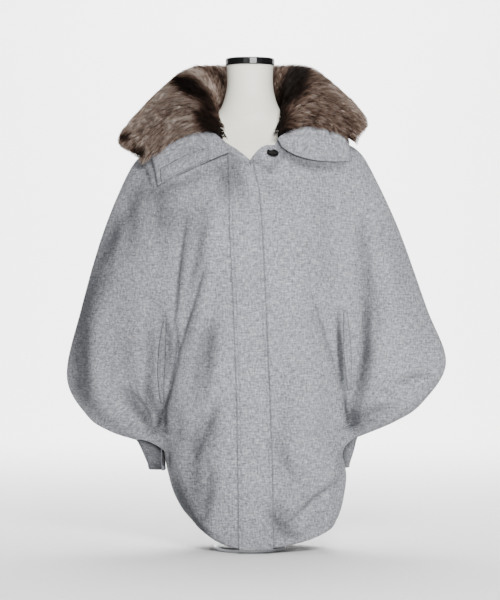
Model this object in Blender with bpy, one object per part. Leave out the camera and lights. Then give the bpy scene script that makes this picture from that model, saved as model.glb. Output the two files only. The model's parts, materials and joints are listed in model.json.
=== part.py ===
"""A batwing down jacket with a fur collar, worn by a limbless display torso.

Metres, +Z up, and the front faces -Y. The origin is the middle of the torso's base, on the floor.
Sizes below are in millimetres. The cloth is worked out as closed rings from the neckline to the hem:
each ring has a front, a back and two side points, and a section says where they are.
The wearer's right is at -X, which is on the left when the jacket is seen from the front.
"""

import math
from collections import namedtuple

import bmesh
import bpy
from mathutils import Matrix, Vector
from mathutils.bvhtree import BVHTree

MM = 0.001

# Wall thicknesses and gaps
PADDED_WALL = 6.0
COLLAR_WALL = 5.0
CUFF_WALL = 4.0
PLACKET_WALL = 4.0
WELT_WALL = 2.6
GAP = 0.3
LIFT = 0.8

# Mesh density
FRONT_COLUMNS = 17
BACK_COLUMNS = 24
EVEN_SHARE = 0.4
CUFF_CLEAR = 0.7
CUFF_INSET = 1.7
CUFF_RINGS = 5
CUFF_EASE = 0.8
CUFF_STRETCH = 1.6

# Section shape
RISE_POWER = 2.42
EDGE_POWER = 0.85
BODY_HALF = 150.0
BODY_POWER = 4
SIDE_POWER = 8
FOLD_POWER = 4

# The fly front, the button and the pockets
FLY_TOP_RING = 0.5
BUTTON_AT = (43.0, 768.0)
BUTTON_RADIUS = 11.5
BUTTON_THICK = 3.4
BUTTON_LIFT = 0.8
WELT_WIDTH = 15.0
WELT_STEPS = 8

# The torso's stand
BASE_HALF_WIDTH = 72.0
BASE_HALF_DEPTH = 96.0
BASE_THICK = 9.0
POLE_RADIUS = 13.0
BASE_CHAMFER = 3.0
BASE_SEGMENTS = 40
POLE_SEGMENTS = 20
TORSO_SEGMENTS = 28
CAP_THICK = 13.7
CAP_ROUND = 1.5
CAP_WIDER = 1.5

# A ring of the jacket. The heights are those of the front's middle, the two sides and the back's
# middle. The depths are those of the body, and of the wings beside it. A bulge is how far the body
# swells forward of a side.
Section = namedtuple(
    "Section",
    "front_z left_x left_z right_x right_z back_z "
    "front_y back_y front_wing back_wing left_bulge right_bulge",
)

# From the neckline to the wings' lower ends, where the cuffs are
WING_SECTIONS = [
    Section(756, 76, 850, 76, 850, 852, 92, 66, 92, 66, 0, 0),
    Section(734, 104, 835.6, 104, 835.6, 834, 104, 80, 100, 78, 0, 0),
    Section(711, 138.4, 817.4, 138.4, 817.4, 811, 113, 93, 104, 86, 0, 0),
    Section(684, 178, 796, 180, 797, 783, 120, 104, 104, 88, 0, 0),
    Section(655, 210, 772, 212, 778, 752, 127, 112, 100, 84, 0, 0),
    Section(618, 240, 732, 237, 741, 712, 134, 117, 95, 80, 0, 0),
    Section(530, 288, 617, 290, 628, 606, 141, 123, 84, 74, 0, 0),
    Section(425, 330, 472, 346, 472, 470, 141, 127, 74, 70, 0, 0),
    Section(325, 359, 338, 384, 364, 345, 141, 131, 64, 62, 0, 0),
    Section(264, 320, 261, 337, 285, 266, 141, 134, 54, 52, 0, 0),
    Section(240, 276, 230, 285, 249, 240, 141, 135, 50, 48, 0, 0),
    Section(223, 225, 213, 213, 219, 221, 141, 136, 46, 46, 0, 0),
]

# From the cuffs to the hem
BODY_SECTIONS = [
    Section(206, 172, 205, 163, 206, 206, 141, 136, 141, 136, 4, 34),
    Section(160, 160, 151, 168, 150, 160, 140, 137, 140, 137, 4, 50),
    Section(115, 149, 112, 171, 105, 115, 137, 136, 137, 136, 2, 36),
    Section(63, 131, 78, 166, 72, 66, 129, 130, 129, 130, 0, 28),
    Section(9, 106, 50, 156, 49, 24, 117, 121, 117, 121, 0, 22),
]
CUFF_RING = len(WING_SECTIONS) - 1

# The neckline beside its lowest point: how much higher, and out to which share of its half width.
# The wearer's left front is 1, and the right front is -1.
NECK_RISES = {1: (20.0, 0.62), -1: (14.0, 0.71)}
NECK_RINGS = 3

# Each cuff: the columns that its hole takes on the front and on the back, and its wrist opening
Cuff = namedtuple("Cuff", "front_columns back_columns x y z half_width half_depth")
CUFFS = {
    1: Cuff(2, 3, 184, 30, 158, 11.5, 34),
    -1: Cuff(2, 3, -181, -6, 156, 15, 33),
}

# Where each front is covered by the fly: half widths to the wearer's right and left at a height
FlyEdge = namedtuple("FlyEdge", "z right_half left_half")
FLY_EDGES = [
    FlyEdge(780, 46, 4),
    FlyEdge(737, 42, 7),
    FlyEdge(696, 40, 17),
    FlyEdge(623, 39, 23),
    FlyEdge(450, 31, 31),
    FlyEdge(291, 25, 38),
    FlyEdge(0, 21, 44),
]

# A fold starts and ends at this share of its fading curve
FOLD_END = 0.12

# Large folds: a soft ridge (height above 0) or trough from start to end, in a front or back view
Fold = namedtuple("Fold", "face start_x start_z mid_x mid_z end_x end_z height width")
FOLDS = [
    Fold("front", -99, 560, -120, 462, -141, 352, -13, 15),
    Fold("front", -118, 650, -136, 540, -146, 430, -7, 15),
    Fold("front", -141, 352, -161, 291, -186, 228, -13, 14),
    Fold("front", -203, 470, -206, 380, -212, 270, -6, 22),
    Fold("front", -245, 318, -212, 300, -192, 250, -8, 15),
    Fold("front", 228, 650, 232, 500, 238, 410, -13, 30),
    Fold("front", 238, 410, 220, 330, 200, 262, -13, 26),
    Fold("front", 283, 318, 316, 336, 352, 342, -6, 16),
    Fold("front", 123, 490, 150, 400, 178, 318, -5, 15),
    Fold("front", 176, 134, 112, 98, 76, 34, -8, 14),
    Fold("front", -62, 280, -92, 190, -76, 84, -6, 26),
    Fold("back", 222, 655, 236, 500, 226, 330, 12, 30),
    Fold("back", -218, 640, -226, 480, -214, 320, 12, 30),
    Fold("back", 112, 600, 132, 400, 150, 240, 9, 26),
    Fold("back", -108, 610, -126, 420, -146, 250, 9, 26),
    Fold("back", 20, 560, 36, 360, 30, 160, 6, 34),
]

# The collar's stations, from the wearer's right front edge round the neck to the left one.
# Each runs from the neck seam over a roll to the outer edge. A y of None lies on the front's cloth.
Station = namedtuple("Station", "neck roll edge")
COLLAR_STATIONS = [
    Station((-41, None, 770), (-110, None, 740), (-190, None, 701)),
    Station((-54, -88, 797), (-112, -86, 811), (-206, -64, 758)),
    Station((-65, -59, 824), (-125, -54, 862), (-252, -36, 790)),
    Station((-78, -20, 853), (-118, -6, 905), (-220, 14, 843)),
    Station((-73, 30, 855), (-98, 48, 925), (-160, 66, 902)),
    Station((-44, 58, 856), (-58, 86, 925), (-90, 112, 937)),
    Station((0, 68, 857), (0, 94, 920), (0, 124, 942)),
    Station((44, 58, 856), (58, 86, 925), (88, 112, 937)),
    Station((73, 30, 855), (98, 48, 925), (152, 68, 906)),
    Station((78, -20, 853), (115, -6, 905), (200, 16, 866)),
    Station((65, -59, 824), (112, -54, 862), (225, -30, 826)),
    Station((54, -88, 800), (122, -84, 824), (202, -60, 795)),
    Station((60, None, 781), (122, None, 756), (211, None, 757)),
]
COLLAR_PER_STATION = 2
COLLAR_ACROSS = (0.0, 0.15, 0.31, 0.47, 0.63, 0.79, 0.94)
FUR_ACROSS = (0.0, 0.15, 0.31, 0.47, 0.63, 0.79, 0.94, 1.0)
FLAP_LIFT = 3.1
FUR_FIRST = 1.0
FUR_LAST = 11.0
FUR_THICKNESS = (9.0, 21.0, 23.0, 20.0, 15.0, 10.0, 6.5, 3.5)
FUR_END_SHARE = 0.4

# The tab on the wearer's right flap: along the front edge, and in from it, as shares of the flap
TAB_ALONG = (0.28, 0.88)
TAB_IN = (0.04, 0.46)

# Pocket openings: where the welt runs, top to bottom, in a front view
Pocket = namedtuple("Pocket", "name top_x top_z mid_x mid_z low_x low_z")
POCKETS = [
    Pocket("pocket_right", -163, 446, -170, 366, -170, 288),
    Pocket("pocket_left", 183, 466, 187, 390, 191, 314),
]

# The torso, from its flat underside to the top of the neck. A power of 2 is an ellipse, and
# squarer rings have a higher one.
Slice = namedtuple("Slice", "z half_width half_depth power")
TORSO_SLICES = [
    Slice(158, 112, 78, 2.25),
    Slice(166, 128, 91, 2.25),
    Slice(190, 142, 101, 2.25),
    Slice(235, 147, 106, 2.25),
    Slice(300, 139, 99, 2.25),
    Slice(360, 121, 88, 2.25),
    Slice(410, 113, 84, 2.25),
    Slice(470, 120, 91, 2.25),
    Slice(530, 131, 103, 2.25),
    Slice(585, 139, 114, 2.25),
    Slice(640, 146, 106, 2.25),
    Slice(690, 158, 95, 2.25),
    Slice(730, 171, 84, 2.25),
    Slice(765, 177, 74, 2.25),
    Slice(790, 164, 61, 2.25),
    Slice(812, 132.2, 50, 1.9),
    Slice(830, 97, 43, 1.9),
    Slice(845, 70.3, 41, 1.9),
    Slice(862, 57, 43, 2.25),
    Slice(885, 49, 46, 2.25),
    Slice(910, 45, 46.5, 2.25),
    Slice(944, 46.5, 49.5, 2.25),
]

# Colours, as red, green and blue, and the roughness of each material
CLOTH = ((0.46, 0.465, 0.48), 0.9)
FUR = ((0.16, 0.12, 0.10), 0.95)
BUTTON = ((0.02, 0.018, 0.017), 0.35)
TORSO = ((0.86, 0.85, 0.80), 0.5)
BLACK = ((0.02, 0.02, 0.022), 0.25)
STEEL = ((0.55, 0.56, 0.58), 0.3)


def smooth_between(rows, position):
    """A row between two rows of a table, on a smooth curve through all of them."""
    last = len(rows) - 1
    low = min(int(position), last - 1)
    share = position - low
    before, first = rows[max(low - 1, 0)], rows[low]
    second, after = rows[low + 1], rows[min(low + 2, last)]

    def curve(a, b, c, d):
        """Catmull-Rom through b and c."""
        slope_in, slope_out = (c - a) / 2, (d - b) / 2
        rise = c - b
        return (
            b
            + share * slope_in
            + share**2 * (3 * rise - 2 * slope_in - slope_out)
            + share**3 * (slope_in + slope_out - 2 * rise)
        )

    return [curve(*values) for values in zip(before, first, second, after)]


def section_at(ring):
    """The section at a ring: 0 is the neckline, and the body's sections follow the cuffs' ring."""
    if ring <= CUFF_RING:
        return Section(*smooth_between(WING_SECTIONS, ring))
    return Section(*smooth_between(BODY_SECTIONS, ring - CUFF_RING - 1))


def fly_half(z, side):
    """How far the fly reaches from the middle at a height, on the wearer's left (1) or right (-1)."""
    column = 2 if side > 0 else 1
    for upper, lower in zip(FLY_EDGES, FLY_EDGES[1:]):
        if z >= lower.z:
            share = min(1.0, (z - lower.z) / (upper.z - lower.z))
            return lower[column] + share * (upper[column] - lower[column])
    return FLY_EDGES[-1][column]


def fold_height(face, x, z):
    """How far the large folds move the cloth of a face outwards at a point of its view."""
    total = 0.0
    for fold in FOLDS:
        if fold.face != face:
            continue
        points = [
            Vector((fold.start_x, fold.start_z)),
            Vector((fold.mid_x, fold.mid_z)),
            Vector((fold.end_x, fold.end_z)),
        ]
        best = None
        for leg in (0, 1):
            run = points[leg + 1] - points[leg]
            along = (Vector((x, z)) - points[leg]).dot(run) / run.length_squared
            near = max(0.0, min(1.0, along))
            away = (Vector((x, z)) - points[leg] - near * run).length
            if best is None or away < best[0]:
                best = (away, (leg + near) / 2)
        away, along = best
        fade = math.sin(math.pi * (FOLD_END + (1 - 2 * FOLD_END) * along))
        total += fold.height * fade * math.exp(-((away / fold.width) ** 2))
    return total


def neck_rise(ring, side, share):
    """How much higher the front's neckline runs than a plain curve, beside its lowest point."""
    height, reach = NECK_RISES[side]
    if ring >= NECK_RINGS or share >= reach:
        return 0.0
    return height * math.sin(math.pi * share / reach) * (1 - ring / NECK_RINGS) ** 2


def fold_share(ring):
    """How strongly the folds show at a ring: they fade out where the wings meet the body."""
    if ring <= CUFF_RING:
        return min(1.0, (CUFF_RING - ring) / 2)
    return min(1.0, ring - CUFF_RING - 1)


def ring_point(ring, face, side, angle):
    """A point of the jacket's outer surface. The angle runs from the face's middle to a right angle."""
    row = section_at(ring)
    front = face == "front"
    reach, side_z = (row.right_x, row.right_z) if side > 0 else (row.left_x, row.left_z)
    middle_z, depth, wing = (
        (row.front_z, row.front_y, row.front_wing) if front else (row.back_z, row.back_y, row.back_wing)
    )
    bulge = (row.right_bulge if side > 0 else row.left_bulge) if front else 0.0
    share = math.sin(angle)
    rise = (side_z - middle_z) * share**RISE_POWER
    if front:
        rise += neck_rise(ring, side, share)
    x = side * (reach * share + bulge * math.sin(2 * angle) * share**2)
    body = math.exp(-((abs(x) / BODY_HALF) ** BODY_POWER)) * (1 - share**SIDE_POWER)
    away = wing * math.cos(angle) ** EDGE_POWER if angle < math.pi / 2 else 0.0
    away += (depth - wing) * body
    away += fold_height(face, x, middle_z + rise) * (1 - share**FOLD_POWER) * fold_share(ring)
    return Vector((x, -away if front else away, middle_z + rise))


def column_angles(ring):
    """The angles of every column of a ring, from the front's middle round the wearer's left side."""
    row = section_at(ring)
    columns = []
    for side, reach in ((1, row.right_x), (-1, row.left_x)):
        first = min(0.9, fly_half(row.front_z, side) / reach)
        edge = math.asin(first)
        steps = FRONT_COLUMNS - 1
        angles = [0.0]
        for i in range(steps):
            turned = math.sin(edge + (math.pi / 2 - edge) * i / steps)
            even = first + (1 - first) * i / steps
            angles.append(math.asin(EVEN_SHARE * even + (1 - EVEN_SHARE) * turned))
        angles.append(math.pi / 2)
        columns.append([("front", side, angle) for angle in angles])
    left, right = columns
    back = []
    for i in range(1, BACK_COLUMNS):
        turn = math.pi * i / BACK_COLUMNS
        side = 1 if turn <= math.pi / 2 else -1
        back.append(("back", side, abs(math.pi / 2 - turn)))
    return left + back + right[::-1]


def ring_stations():
    """The rings of the mesh: half steps between sections, with the seam of the cuffs skipped."""
    wing = [i / 2 for i in range(2 * CUFF_RING + 1)]
    first = CUFF_RING + 1
    body = [first + i / 2 for i in range(2 * (len(BODY_SECTIONS) - 1) + 1)]
    return wing + body


def jacket_grid():
    """Outer points and outward normals of the whole jacket, by ring and column."""
    rings = ring_stations()
    points = [[ring_point(ring, *column) for column in column_angles(ring)] for ring in rings]
    normals = []
    for r, row in enumerate(points):
        above, below = points[max(r - 1, 0)], points[min(r + 1, len(points) - 1)]
        line = []
        for c in range(len(row)):
            before = row[c - 1] if c else row[-2]
            after = row[c + 1] if c + 1 < len(row) else row[1]
            line.append((after - before).cross(above[c] - below[c]).normalized())
        normals.append(line)
    return points, normals


def cloth_material(name, look):
    """A plain material with a colour and a roughness."""
    colour, roughness = look
    material = bpy.data.materials.get(name) or bpy.data.materials.new(name)
    material.use_nodes = True
    shader = material.node_tree.nodes["Principled BSDF"]
    shader.inputs["Base Color"].default_value = (*colour, 1.0)
    shader.inputs["Roughness"].default_value = roughness
    shader.inputs["Metallic"].default_value = 0.9 if name == "steel" else 0.0
    return material


def add_object(name, mesh_maker, material, look):
    """A new object from a bmesh whose points are in millimetres."""
    bmesh.ops.scale(mesh_maker, vec=(MM, MM, MM), verts=mesh_maker.verts)
    mesh = bpy.data.meshes.new(name)
    mesh_maker.to_mesh(mesh)
    mesh_maker.free()
    mesh.materials.append(cloth_material(material, look))
    mesh.shade_smooth()
    obj = bpy.data.objects.new(name, mesh)
    bpy.context.scene.collection.objects.link(obj)
    return obj


def wall(outer, inner, cells, around=None):
    """A closed bmesh between two matching grids, over the named cells (row, column).

    A tube's columns start again after the number given as around.
    """
    triangles = []
    for r, c in cells:
        after = (c + 1) % around if around else c + 1
        corners = [(r, c), (r + 1, c), (r + 1, after), (r, after)]
        triangles += [corners[:3], [corners[0], *corners[2:]]]
    maker = bmesh.new()
    keys = sorted({key for triangle in triangles for key in triangle})
    high = {key: maker.verts.new(outer[key[0]][key[1]]) for key in keys}
    low = {key: maker.verts.new(inner[key[0]][key[1]]) for key in keys}
    sides = set()
    for triangle in triangles:
        maker.faces.new([high[key] for key in triangle])
        maker.faces.new([low[key] for key in reversed(triangle)])
        sides |= set(zip(triangle, triangle[1:] + triangle[:1]))
    for a, b in sorted(sides):
        if (b, a) not in sides:
            maker.faces.new([high[b], high[a], low[a], low[b]])
    return maker


def moved(points, normals, distance):
    """A grid of points moved along its normals."""
    return [
        [point + normal * distance for point, normal in zip(row, line)]
        for row, line in zip(points, normals)
    ]


def shifted(points, columns, offset):
    """A copy of a grid with some columns shifted, for the gap at a seam."""
    return [[p + Vector(offset) if c in columns else p for c, p in enumerate(row)] for row in points]


def cuff_span(side):
    """The columns of a cuff's hole, from the front one to the back one."""
    cuff = CUFFS[side]
    if side > 0:
        return range(FRONT_COLUMNS - cuff.front_columns, FRONT_COLUMNS + cuff.back_columns + 1)
    middle = FRONT_COLUMNS + BACK_COLUMNS
    return range(middle - cuff.back_columns, middle + cuff.front_columns + 1)


def cuff_cells():
    """The cells left out of the cloth for the cuffs, in the strip under each wing's lower end."""
    strip = ring_stations().index(CUFF_RING)
    return {(strip, column) for side in CUFFS for column in list(cuff_span(side))[:-1]}


def make_panels(points, normals):
    """The two fronts and the two halves of the back, each cut in one with its part of the wings."""
    last = 2 * FRONT_COLUMNS + BACK_COLUMNS
    left_side, right_side = FRONT_COLUMNS, FRONT_COLUMNS + BACK_COLUMNS
    back_seam = FRONT_COLUMNS + BACK_COLUMNS // 2
    holes = cuff_cells()
    half = GAP / 2
    spans = {
        "front_left": (0, left_side, [((0,), (half, 0, 0)), ((left_side,), (0, -half, 0))]),
        "back_left": (left_side, back_seam, [((left_side,), (0, half, 0)), ((back_seam,), (half, 0, 0))]),
        "back_right": (back_seam, right_side, [((back_seam,), (-half, 0, 0)), ((right_side,), (0, half, 0))]),
        "front_right": (right_side, last, [((last,), (-half, 0, 0)), ((right_side,), (0, -half, 0))]),
    }
    inside = moved(points, normals, -PADDED_WALL)
    for name, (first, stop, shifts) in spans.items():
        outer, inner = points, inside
        for columns, offset in shifts:
            outer = shifted(outer, columns, offset)
            inner = shifted(inner, columns, offset)
        cells = [
            (r, c) for r in range(len(points) - 1) for c in range(first, stop) if (r, c) not in holes
        ]
        add_object(name, wall(outer, inner, cells), "cloth", CLOTH)


def make_fly(points, normals):
    """The fly front: the fronts' own points beside the middle, moved out."""
    start = ring_stations().index(FLY_TOP_RING)
    last = 2 * FRONT_COLUMNS + BACK_COLUMNS
    columns = [last - 1, 0, 1]
    base = [[row[c] for c in columns] for row in points[start:]]
    out = [[line[c] for c in columns] for line in normals[start:]]
    cells = [(r, c) for r in range(len(base) - 1) for c in range(len(columns) - 1)]
    solid = wall(moved(base, out, GAP + PLACKET_WALL), moved(base, out, GAP), cells)
    add_object("fly_front", solid, "cloth", CLOTH)


def make_cuff(points, normals, name, side):
    """A short tube from the hole under a wing's end down to the wrist opening."""
    cuff = CUFFS[side]
    strip = ring_stations().index(CUFF_RING)
    span = cuff_span(side)
    hole = [(strip, c) for c in span] + [(strip + 1, c) for c in reversed(span)]
    loop = [points[r][c] + normals[r][c] * CUFF_CLEAR for r, c in hole]
    count = len(loop)
    top_middle = sum(loop, Vector()) / count
    wrist_middle = Vector((cuff.x, cuff.y, cuff.z))
    outer, inner = [], []
    for r in range(CUFF_RINGS + 1):
        share = r / CUFF_RINGS
        middle = top_middle.lerp(wrist_middle, share)
        row_out, row_in = [], []
        for top in loop:
            start = top + (top_middle - top).normalized() * CUFF_INSET
            around = math.atan2(top.y - top_middle.y, (top.x - top_middle.x) * CUFF_STRETCH)
            away = Vector((cuff.half_width * math.cos(around), cuff.half_depth * math.sin(around), 0))
            sideways = start.lerp(wrist_middle + away, share**CUFF_EASE)
            point = Vector((sideways.x, sideways.y, start.z + (cuff.z - start.z) * share))
            inward = Vector((middle.x - point.x, middle.y - point.y, 0)).normalized()
            row_out.append(point)
            row_in.append(point + inward * CUFF_WALL)
        outer.append(row_out)
        inner.append(row_in)
    cells = [(r, c) for r in range(CUFF_RINGS) for c in range(count)]
    solid = wall(outer, inner, cells, count)
    bmesh.ops.recalc_face_normals(solid, faces=solid.faces)
    add_object(name, solid, "cloth", CLOTH)


def cloth_tree(names):
    """A search tree over the finished cloth, in millimetres, for what lies on it."""
    verts, faces = [], []
    for name in names:
        mesh = bpy.data.objects[name].data
        start = len(verts)
        verts += [v.co / MM for v in mesh.vertices]
        faces += [[start + i for i in p.vertices] for p in mesh.polygons]
    return BVHTree.FromPolygons(verts, faces)


def on_front(tree, x, z):
    """The point and the outward normal of the front's cloth at a place in its view."""
    point, normal, _, _ = tree.ray_cast(Vector((x, -600.0, z)), Vector((0, 1, 0)))
    return point, normal


def collar_point(tree, along, across):
    """A point of the collar's upper surface: along counts stations, across runs from neck to edge."""
    curve = []
    for part in ("neck", "roll", "edge"):
        rows = []
        for station in COLLAR_STATIONS:
            x, y, z = getattr(station, part)
            if y is None:
                y = on_front(tree, x, z)[0].y - FLAP_LIFT - COLLAR_WALL
            rows.append((x, y, z))
        curve.append(Vector(smooth_between(rows, along)))
    neck, roll, edge = curve
    pull = 2 * roll - (neck + edge) / 2
    return (1 - across) ** 2 * neck + 2 * across * (1 - across) * pull + across**2 * edge


def collar_grid(tree, first, last, acrosses):
    """Points and upward normals of a stretch of the collar."""
    count = round((last - first) * COLLAR_PER_STATION)
    alongs = [first + (last - first) * i / count for i in range(count + 1)]
    points, normals = [], []
    step = 0.02
    end = len(COLLAR_STATIONS) - 1
    for along in alongs:
        line, out = [], []
        for across in acrosses:
            line.append(collar_point(tree, along, across))
            a0, a1 = max(0.0, along - step), min(end, along + step)
            run = collar_point(tree, a1, across) - collar_point(tree, a0, across)
            climb = collar_point(tree, along, across + step) - collar_point(tree, along, across - step)
            out.append(run.cross(climb).normalized())
        points.append(line)
        normals.append(out)
    return points, normals


def make_collar(tree):
    """The collar's cloth, which stands behind the neck and opens into two flaps."""
    end = len(COLLAR_STATIONS) - 1
    points, normals = collar_grid(tree, 0, end, COLLAR_ACROSS)
    cells = [(r, c) for r in range(len(points) - 1) for c in range(len(COLLAR_ACROSS) - 1)]
    solid = wall(points, moved(points, normals, -COLLAR_WALL), cells)
    bmesh.ops.recalc_face_normals(solid, faces=solid.faces)
    add_object("collar", solid, "cloth", CLOTH)


def make_fur(tree):
    """The fur that lines the collar, thickest along its middle."""
    points, normals = collar_grid(tree, FUR_FIRST, FUR_LAST, FUR_ACROSS)
    steps = len(FUR_ACROSS) - 1
    top = []
    for r, (row, line) in enumerate(zip(points, normals)):
        from_end = min(r, len(points) - 1 - r)
        full = min(1.0, FUR_END_SHARE + (1 - FUR_END_SHARE) * from_end / 2)
        heights = [GAP + thick * full for thick in FUR_THICKNESS]
        top.append([point + normal * high for point, normal, high in zip(row, line, heights)])
    cells = [(r, c) for r in range(len(points) - 1) for c in range(steps)]
    solid = wall(top, moved(points, normals, GAP), cells)
    bmesh.ops.recalc_face_normals(solid, faces=solid.faces)
    add_object("fur_collar", solid, "fur", FUR)


def make_tab(tree):
    """The closing tab sewn on the wearer's right flap, made from the flap's points, moved out."""
    steps = 3
    points, normals = [], []
    for i in range(steps + 1):
        across = TAB_ALONG[0] + (TAB_ALONG[1] - TAB_ALONG[0]) * i / steps
        line, out = [], []
        for along in TAB_IN:
            line.append(collar_point(tree, along, across))
            run = collar_point(tree, along + 0.05, across) - collar_point(tree, along, across)
            climb = collar_point(tree, along, across + 0.02) - collar_point(tree, along, across - 0.02)
            out.append(run.cross(climb).normalized())
        points.append(line)
        normals.append(out)
    cells = [(r, 0) for r in range(steps)]
    solid = wall(moved(points, normals, LIFT + WELT_WALL), moved(points, normals, LIFT), cells)
    bmesh.ops.recalc_face_normals(solid, faces=solid.faces)
    add_object("collar_tab", solid, "cloth", CLOTH)


def make_pocket(tree, pocket):
    """A pocket's welt: a narrow strip on the front's cloth beside the opening."""
    points, normals = [], []
    for i in range(WELT_STEPS + 1):
        share = i / WELT_STEPS
        ease = (1 - share) ** 2, 2 * share * (1 - share), share**2
        pull_x = 2 * pocket.mid_x - (pocket.top_x + pocket.low_x) / 2
        pull_z = 2 * pocket.mid_z - (pocket.top_z + pocket.low_z) / 2
        x = ease[0] * pocket.top_x + ease[1] * pull_x + ease[2] * pocket.low_x
        z = ease[0] * pocket.top_z + ease[1] * pull_z + ease[2] * pocket.low_z
        half = WELT_WIDTH / 2 * (0.45 + 0.55 * math.sin(math.pi * share))
        found = [on_front(tree, x - half, z), on_front(tree, x, z), on_front(tree, x + half, z)]
        points.append([point for point, _ in found])
        normals.append([normal for _, normal in found])
    cells = [(r, c) for r in range(WELT_STEPS) for c in range(2)]
    solid = wall(moved(points, normals, LIFT + WELT_WALL), moved(points, normals, LIFT), cells)
    bmesh.ops.recalc_face_normals(solid, faces=solid.faces)
    add_object(pocket.name, solid, "cloth", CLOTH)


def make_button(tree):
    """The dark button at the neck of the wearer's left front."""
    point, normal = on_front(tree, *BUTTON_AT)
    solid = bmesh.new()
    bmesh.ops.create_cone(
        solid, cap_ends=True, segments=24, radius1=BUTTON_RADIUS, radius2=BUTTON_RADIUS, depth=BUTTON_THICK
    )
    rim = [e for e in solid.edges if all(v.co.z > 0 for v in e.verts)]
    bmesh.ops.bevel(solid, geom=rim, offset=0.9, segments=2, profile=0.5, affect="EDGES", material=-1)
    turn = normal.to_track_quat("Z", "Y").to_matrix().to_4x4()
    place = Matrix.Translation(point + normal * (BUTTON_THICK / 2 + BUTTON_LIFT)) @ turn
    bmesh.ops.transform(solid, matrix=place, verts=solid.verts)
    add_object("button", solid, "horn", BUTTON)


def level_ring(half_width, half_depth, z, segments, power=2.0):
    """One level ring: an ellipse at a power of 2, and squarer above."""
    ring = []
    for i in range(segments):
        turn = 2 * math.pi * i / segments
        cosine, sine = math.cos(turn), math.sin(turn)
        x = math.copysign(abs(cosine) ** (2 / power), cosine) * half_width
        y = math.copysign(abs(sine) ** (2 / power), sine) * half_depth
        ring.append(Vector((x, y, z)))
    return ring


def loft(rings):
    """A closed bmesh through level rings, flat at both ends."""
    solid = bmesh.new()
    rows = [[solid.verts.new(p) for p in ring] for ring in rings]
    count = len(rows[0])
    for low, high in zip(rows, rows[1:]):
        for i in range(count):
            j = (i + 1) % count
            solid.faces.new([low[i], low[j], high[j], high[i]])
    solid.faces.new(rows[0][::-1])
    solid.faces.new(rows[-1])
    return solid


def make_torso():
    """The limbless torso, its neck's cap, and the pole and base that it stands on."""
    def body_ring(row, wider=0.0, z=None):
        """A ring of one of the torso's slices, or a wider copy of it at another height."""
        z = row.z if z is None else z
        return level_ring(row.half_width + wider, row.half_depth + wider, z, TORSO_SEGMENTS, row.power)

    add_object("torso", loft([body_ring(row) for row in TORSO_SLICES]), "torso", TORSO)

    top = TORSO_SLICES[-1]
    low = top.z + GAP
    high = low + CAP_THICK
    cap = [
        body_ring(top, CAP_WIDER - CAP_ROUND / 2, low),
        body_ring(top, CAP_WIDER, low + CAP_ROUND),
        body_ring(top, CAP_WIDER, high - CAP_ROUND),
        body_ring(top, CAP_WIDER - CAP_ROUND, high),
    ]
    add_object("neck_cap", loft(cap), "cap", BLACK)

    inset = BASE_CHAMFER
    base = [
        level_ring(BASE_HALF_WIDTH, BASE_HALF_DEPTH, 0, BASE_SEGMENTS),
        level_ring(BASE_HALF_WIDTH, BASE_HALF_DEPTH, BASE_THICK - inset, BASE_SEGMENTS),
        level_ring(BASE_HALF_WIDTH - inset, BASE_HALF_DEPTH - inset, BASE_THICK, BASE_SEGMENTS),
    ]
    add_object("base", loft(base), "steel", STEEL)
    pole = [
        level_ring(POLE_RADIUS, POLE_RADIUS, BASE_THICK + GAP, POLE_SEGMENTS),
        level_ring(POLE_RADIUS, POLE_RADIUS, TORSO_SLICES[0].z - GAP, POLE_SEGMENTS),
    ]
    add_object("pole", loft(pole), "steel", STEEL)


def main():
    """Builds every piece."""
    for obj in list(bpy.data.objects):
        bpy.data.objects.remove(obj)
    points, normals = jacket_grid()
    make_panels(points, normals)
    make_fly(points, normals)
    make_cuff(points, normals, "cuff_left", 1)
    make_cuff(points, normals, "cuff_right", -1)
    tree = cloth_tree(["front_left", "front_right", "fly_front"])
    make_collar(tree)
    make_fur(tree)
    make_tab(tree)
    for pocket in POCKETS:
        make_pocket(tree, pocket)
    make_button(tree)
    make_torso()


main()
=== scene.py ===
"""The looks of a batwing down jacket with a fur collar, on a limbless display torso.

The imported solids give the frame. Each soft solid is replaced by a finer piece of cloth or fur on the
same form, with its creases, seams, stitches and hairs. Sizes are in millimetres unless a name says
otherwise, and a mesh is scaled to metres as it is made. The wearer's left is at +X.
"""

from __future__ import annotations

import json
import logging
import math
from dataclasses import dataclass, field
from enum import Enum
from typing import Any, Iterator, NamedTuple, Sequence

import bmesh
import bpy
import numpy as np
from mathutils import Matrix, Vector
from mathutils.bvhtree import BVHTree

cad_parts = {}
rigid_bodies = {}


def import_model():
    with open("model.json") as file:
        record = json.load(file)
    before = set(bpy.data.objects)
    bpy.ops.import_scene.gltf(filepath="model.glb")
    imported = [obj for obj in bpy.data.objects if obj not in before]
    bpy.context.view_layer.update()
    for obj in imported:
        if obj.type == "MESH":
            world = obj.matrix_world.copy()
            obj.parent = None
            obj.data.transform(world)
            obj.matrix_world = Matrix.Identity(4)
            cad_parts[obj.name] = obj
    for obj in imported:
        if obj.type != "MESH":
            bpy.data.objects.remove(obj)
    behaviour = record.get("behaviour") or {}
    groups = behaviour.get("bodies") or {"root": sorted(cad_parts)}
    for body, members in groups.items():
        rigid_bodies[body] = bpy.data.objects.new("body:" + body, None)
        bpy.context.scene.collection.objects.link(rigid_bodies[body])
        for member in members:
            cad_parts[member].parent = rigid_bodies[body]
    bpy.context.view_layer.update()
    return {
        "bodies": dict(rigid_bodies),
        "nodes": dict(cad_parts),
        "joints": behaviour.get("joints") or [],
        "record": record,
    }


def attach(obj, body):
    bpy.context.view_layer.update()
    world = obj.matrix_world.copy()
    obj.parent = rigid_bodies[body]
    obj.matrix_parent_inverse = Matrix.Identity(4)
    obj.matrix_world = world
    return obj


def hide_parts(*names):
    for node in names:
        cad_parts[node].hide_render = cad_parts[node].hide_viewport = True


LOG = logging.getLogger("down_jacket")
MM = 0.001
BODY = "root"
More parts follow.
